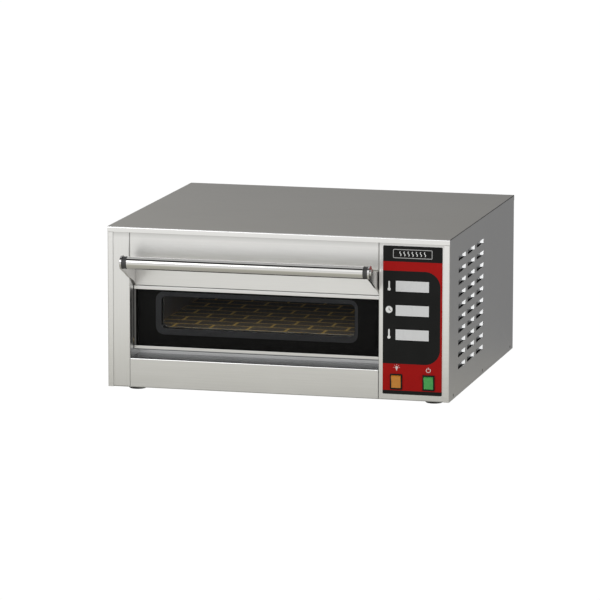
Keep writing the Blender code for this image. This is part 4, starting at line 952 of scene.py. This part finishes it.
def make_handle_screw(side, centre):
    """Low domed screw through the bracket into the tube, with a hexagon socket."""
    low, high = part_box(f"{side}_handle_bracket")
    outward = 1 if side == "right" else -1
    face = high.x if side == "right" else low.x
    start, end = sorted((face + outward * 0.0001, face + outward * HEAD_HEIGHT))
    head = rod(f"{side}_handle_screw", "X", centre, start, end, HEAD_RADIUS, 48)
    rim = end if outward > 0 else start
    open_up(head, edges=lambda a, b: abs(a.x - rim) < 1e-6 and abs(b.x - rim) < 1e-6)
    bpy.ops.mesh.bevel(offset=0.0014, segments=4, affect="EDGES")
    close_up()
    socket = rod("socket", "X", centre, rim - SOCKET_DEPTH, rim + SOCKET_DEPTH, SOCKET_RADIUS, 6)
    fitted(smooth(cut(head, socket), 30), "door", SCREW)


def make_handle():
    centre = make_tube()
    for side in ("left", "right"):
        refined(f"{side}_handle_bracket", BRACKET, 0.0005, 3)
        make_collar(side, centre)
        make_handle_screw(side, centre)


# ----------------------------------------------------------
# Baking chamber
# ----------------------------------------------------------

BRICK_LENGTH, BRICK_DEPTH, JOINT = 0.0625, 0.0330, 0.0045
BRICK_LEAST = 0.008
BRICK_BEDDED = 0.006
JOINT_DROP = 0.00012
DECK_MARGIN = 0.0006


def make_deck():
    """Stone deck in running bond: bevelled bricks standing just proud of a bed of mortar."""
    low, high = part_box("stone_deck")
    bed = block("deck_mortar_bed", low, (high.x, high.y, high.z - JOINT_DROP))
    fitted(soften(bed, 0.0008), "casing", MORTAR, ["stone_deck"])
    bricks = []
    row = 0
    y = low.y + JOINT / 2
    while y + BRICK_LEAST < high.y:
        start = low.x + JOINT / 2 - (BRICK_LENGTH / 2 if row % 2 else 0)
        while start < high.x - BRICK_LEAST:
            near = max(start, low.x + DECK_MARGIN)
            far = min(start + BRICK_LENGTH - JOINT, high.x - DECK_MARGIN)
            if far - near > BRICK_LEAST:
                back = min(y + BRICK_DEPTH - JOINT, high.y - DECK_MARGIN)
                bricks.append(block("brick", (near, y, high.z - BRICK_BEDDED), (far, back, high.z)))
            start += BRICK_LENGTH
        y += BRICK_DEPTH
        row += 1
    fitted(soften(joined("deck_bricks", bricks), 0.0001), "casing", BRICK)


def make_chamber():
    for node in ("chamber_shell", "chamber_back_wall", "chamber_floor_tray"):
        refined(node, STEEL_CHAMBER, 0)
    refined("chamber_front_frame", STEEL_FRONT, 0.0003)
    for node in ("upper_heating_element", "lower_heating_element"):
        refined(node, ELEMENT, 0)
    for side in ("left", "right"):
        refined(f"{side}_hinge_bush", BRASS, 0.0002)
        refined(f"{side}_door_spring", SPRING, 0)
    make_lamp_guard()
    make_deck()


LENS_RING_SECTION = 0.0011


def make_lamp_guard():
    """Smooth lens over the lamp, held by a bright ring."""
    low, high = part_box("lamp_lens")
    centre = ((low.y + high.y) / 2, (low.z + high.z) / 2)
    lens = merged("lamp_lens", "lamp_lens_finished")
    fitted(soften(lens, 0.0005, 3), "casing", LENS_GLASS, ["lamp_lens"])
    radius = (high.z - low.z) / 2
    put_down()
    bpy.ops.mesh.primitive_torus_add(major_radius=radius - 0.0004, minor_radius=LENS_RING_SECTION,
                                     major_segments=64, minor_segments=12,
                                     location=(low.x - 0.0010, *centre), rotation=TURNS["X"])
    fitted(smooth(started("lamp_retaining_ring"), 40), "casing", PROBE)


def dress_the_rest():
    """Every node still showing takes the full finish of its slot."""
    for entry in frame["record"]["subparts"]:
        finish = SLOT_FINISHES.get(entry["material_slot"])
        node = NODES[entry["node"]]
        if finish and not node.hide_render:
            for slot in node.material_slots:
                slot.material = finish


# ----------------------------------------------------------
# Studio
# ----------------------------------------------------------

CASING_WIDTH = 0.560
AZIMUTH, ELEVATION, ROLL = math.radians(14.229), math.radians(9.753), math.radians(0.0897)
SHIFT_X, SHIFT_Z = 0.033203, -0.0056809
DISTANCE = 13.36696
LENS = 274.9
AIM = Vector((LEFT + 0.280, FRONT + 0.224, BASE + 0.112))


def make_camera():
    back = Vector((math.sin(AZIMUTH) * math.cos(ELEVATION), -math.cos(AZIMUTH) * math.cos(ELEVATION),
                   math.sin(ELEVATION)))
    right = (-back).cross(Vector((0, 0, 1))).normalized()
    up = right.cross(-back)
    across = right * math.cos(ROLL) + up * math.sin(ROLL)
    upward = -right * math.sin(ROLL) + up * math.cos(ROLL)
    camera = bpy.data.objects.new("camera", bpy.data.cameras.new("camera"))
    bpy.context.scene.collection.objects.link(camera)
    camera.data.lens = LENS
    camera.data.sensor_width = 36
    camera.data.clip_start = 0.1
    camera.data.clip_end = 100
    place = AIM + CASING_WIDTH * (DISTANCE * back - SHIFT_X * across - SHIFT_Z * upward)
    turn = Matrix((across, upward, back)).transposed().to_4x4()
    camera.matrix_world = Matrix.Translation(place) @ turn
    bpy.context.scene.camera = camera


SEEN_LEVEL = 1.02


def banded(tree, source, stops):
    """Colours that change along a value between 0 and 1."""
    ramp = added(tree, "ShaderNodeValToRGB", {0: source})
    elements = ramp.color_ramp.elements
    while len(elements) < len(stops):
        elements.new(0.5)
    for element, (position, colour) in zip(elements, stops):
        element.position = position
        element.color = (*colour, 1)
    return ramp.outputs["Color"]


def seen_white(tree, kind, reflected, target):
    """White where it is seen directly, and the reflected tones everywhere else."""
    seen = added(tree, kind, {"Color": (1, 1, 1, 1), "Strength": SEEN_LEVEL})
    ray = added(tree, "ShaderNodeLightPath")
    mix = added(tree, "ShaderNodeMixShader",
                {0: ray.outputs["Is Camera Ray"], 1: reflected.outputs[0], 2: seen.outputs[0]})
    added(tree, target, {"Surface": mix.outputs[0]})


FLOOR_FAR, FLOOR_BACK = -2.0, 0.6
FLOOR = ((-1.9, (1.0, 0.99, 0.97)), (-1.1, (0.95, 0.94, 0.90)), (-0.55, (0.54, 0.53, 0.46)),
         (-0.1, (0.40, 0.39, 0.36)), (0.5, (0.27, 0.27, 0.27)))


def make_floor():
    """Plain pale floor. In reflections it is a studio floor: bright in front, deeper behind and beside."""
    put_down()
    bpy.ops.mesh.primitive_plane_add(size=60, location=(0, 0, -0.0002))
    floor = started("studio_floor")
    finish = bpy.data.materials.new("pale_studio_floor")
    finish.use_nodes = True
    tree = finish.node_tree
    tree.nodes.clear()
    place = added(tree, "ShaderNodeTexCoord")
    axes = added(tree, "ShaderNodeSeparateXYZ", {0: place.outputs["Object"]})
    depth = added(tree, "ShaderNodeMapRange",
                  {"From Min": FLOOR_FAR, "From Max": FLOOR_BACK, "Value": axes.outputs["Y"]})
    stops = [((y - FLOOR_FAR) / (FLOOR_BACK - FLOOR_FAR), colour) for y, colour in FLOOR]
    tone = banded(tree, depth.outputs["Result"], stops)
    mirrored = added(tree, "ShaderNodeEmission", {"Color": tone})
    seen_white(tree, "ShaderNodeEmission", mirrored, "ShaderNodeOutputMaterial")
    floor.data.materials.append(finish)


SKY = ((0.00, 0.30), (0.25, 0.30), (0.49, 0.90), (0.525, 0.80), (0.555, 1.20), (0.640, 1.20), (0.656, 0.02),
       (0.726, 0.02), (0.738, 0.58), (0.84, 0.56), (0.88, 0.36), (1.00, 0.30))
SKY_STRENGTH = 2.0


def make_sky():
    """Soft studio round the object: a wide bright wall in front, a darker ceiling and a grey wall behind.
    SKY gives each level and where it stands, as a share of the turn round the left-right axis."""
    world = bpy.data.worlds.new("soft_studio")
    bpy.context.scene.world = world
    world.use_nodes = True
    tree = world.node_tree
    tree.nodes.clear()
    place = added(tree, "ShaderNodeTexCoord")
    axes = added(tree, "ShaderNodeSeparateXYZ", {0: place.outputs["Generated"]})
    front = added(tree, "ShaderNodeMath", {0: axes.outputs["Y"], 1: -1}, operation="MULTIPLY")
    angle = added(tree, "ShaderNodeMath", {0: axes.outputs["Z"], 1: front.outputs[0]}, operation="ARCTAN2")
    share = added(tree, "ShaderNodeMapRange",
                  {"From Min": -math.pi, "From Max": math.pi, "Value": angle.outputs[0]})
    stops = [(position, (level / SKY_STRENGTH,) * 3) for position, level in SKY]
    bands = banded(tree, share.outputs["Result"], stops)
    around = added(tree, "ShaderNodeBackground", {"Strength": SKY_STRENGTH, "Color": bands})
    seen_white(tree, "ShaderNodeBackground", around, "ShaderNodeOutputWorld")


def make_light(name, place, aim, size, power):
    light = bpy.data.objects.new(name, bpy.data.lights.new(name, "AREA"))
    bpy.context.scene.collection.objects.link(light)
    light.data.shape = "RECTANGLE"
    light.data.size, light.data.size_y = size
    light.data.energy = power
    light.location = place
    light.rotation_euler = (Vector(aim) - Vector(place)).to_track_quat("-Z", "Y").to_euler()


def make_studio():
    make_camera()
    make_floor()
    make_sky()
    make_light("front_softbox", (-1.6, -2.6, 1.9), (0, 0, 0.12), (1.6, 1.0), 14)
    make_light("side_softbox", (2.6, -0.6, 1.6), (0.2, 0, 0.12), (1.2, 1.2), 6)
    low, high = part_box("chamber_shell")
    lamp_at = ((low.x + high.x) / 2, low.y + 0.004, high.z - 0.012)
    make_light("chamber_glow", lamp_at, (lamp_at[0], low.y + 0.12, BASE + 0.07), (0.33, 0.016), 0.20)
    bpy.context.scene.view_settings.view_transform = "Standard"


# ----------------------------------------------------------
# Assembly
# ----------------------------------------------------------


def make_oven():
    make_casing_sheets()
    make_right_side()
    make_left_side()
    make_rear()
    make_gland()
    make_feet()
    make_overlay()
    make_displays()
    make_switches()
    make_symbols()
    make_door()
    make_handle()
    make_chamber()
    dress_the_rest()


make_oven()
make_studio()
put_down()
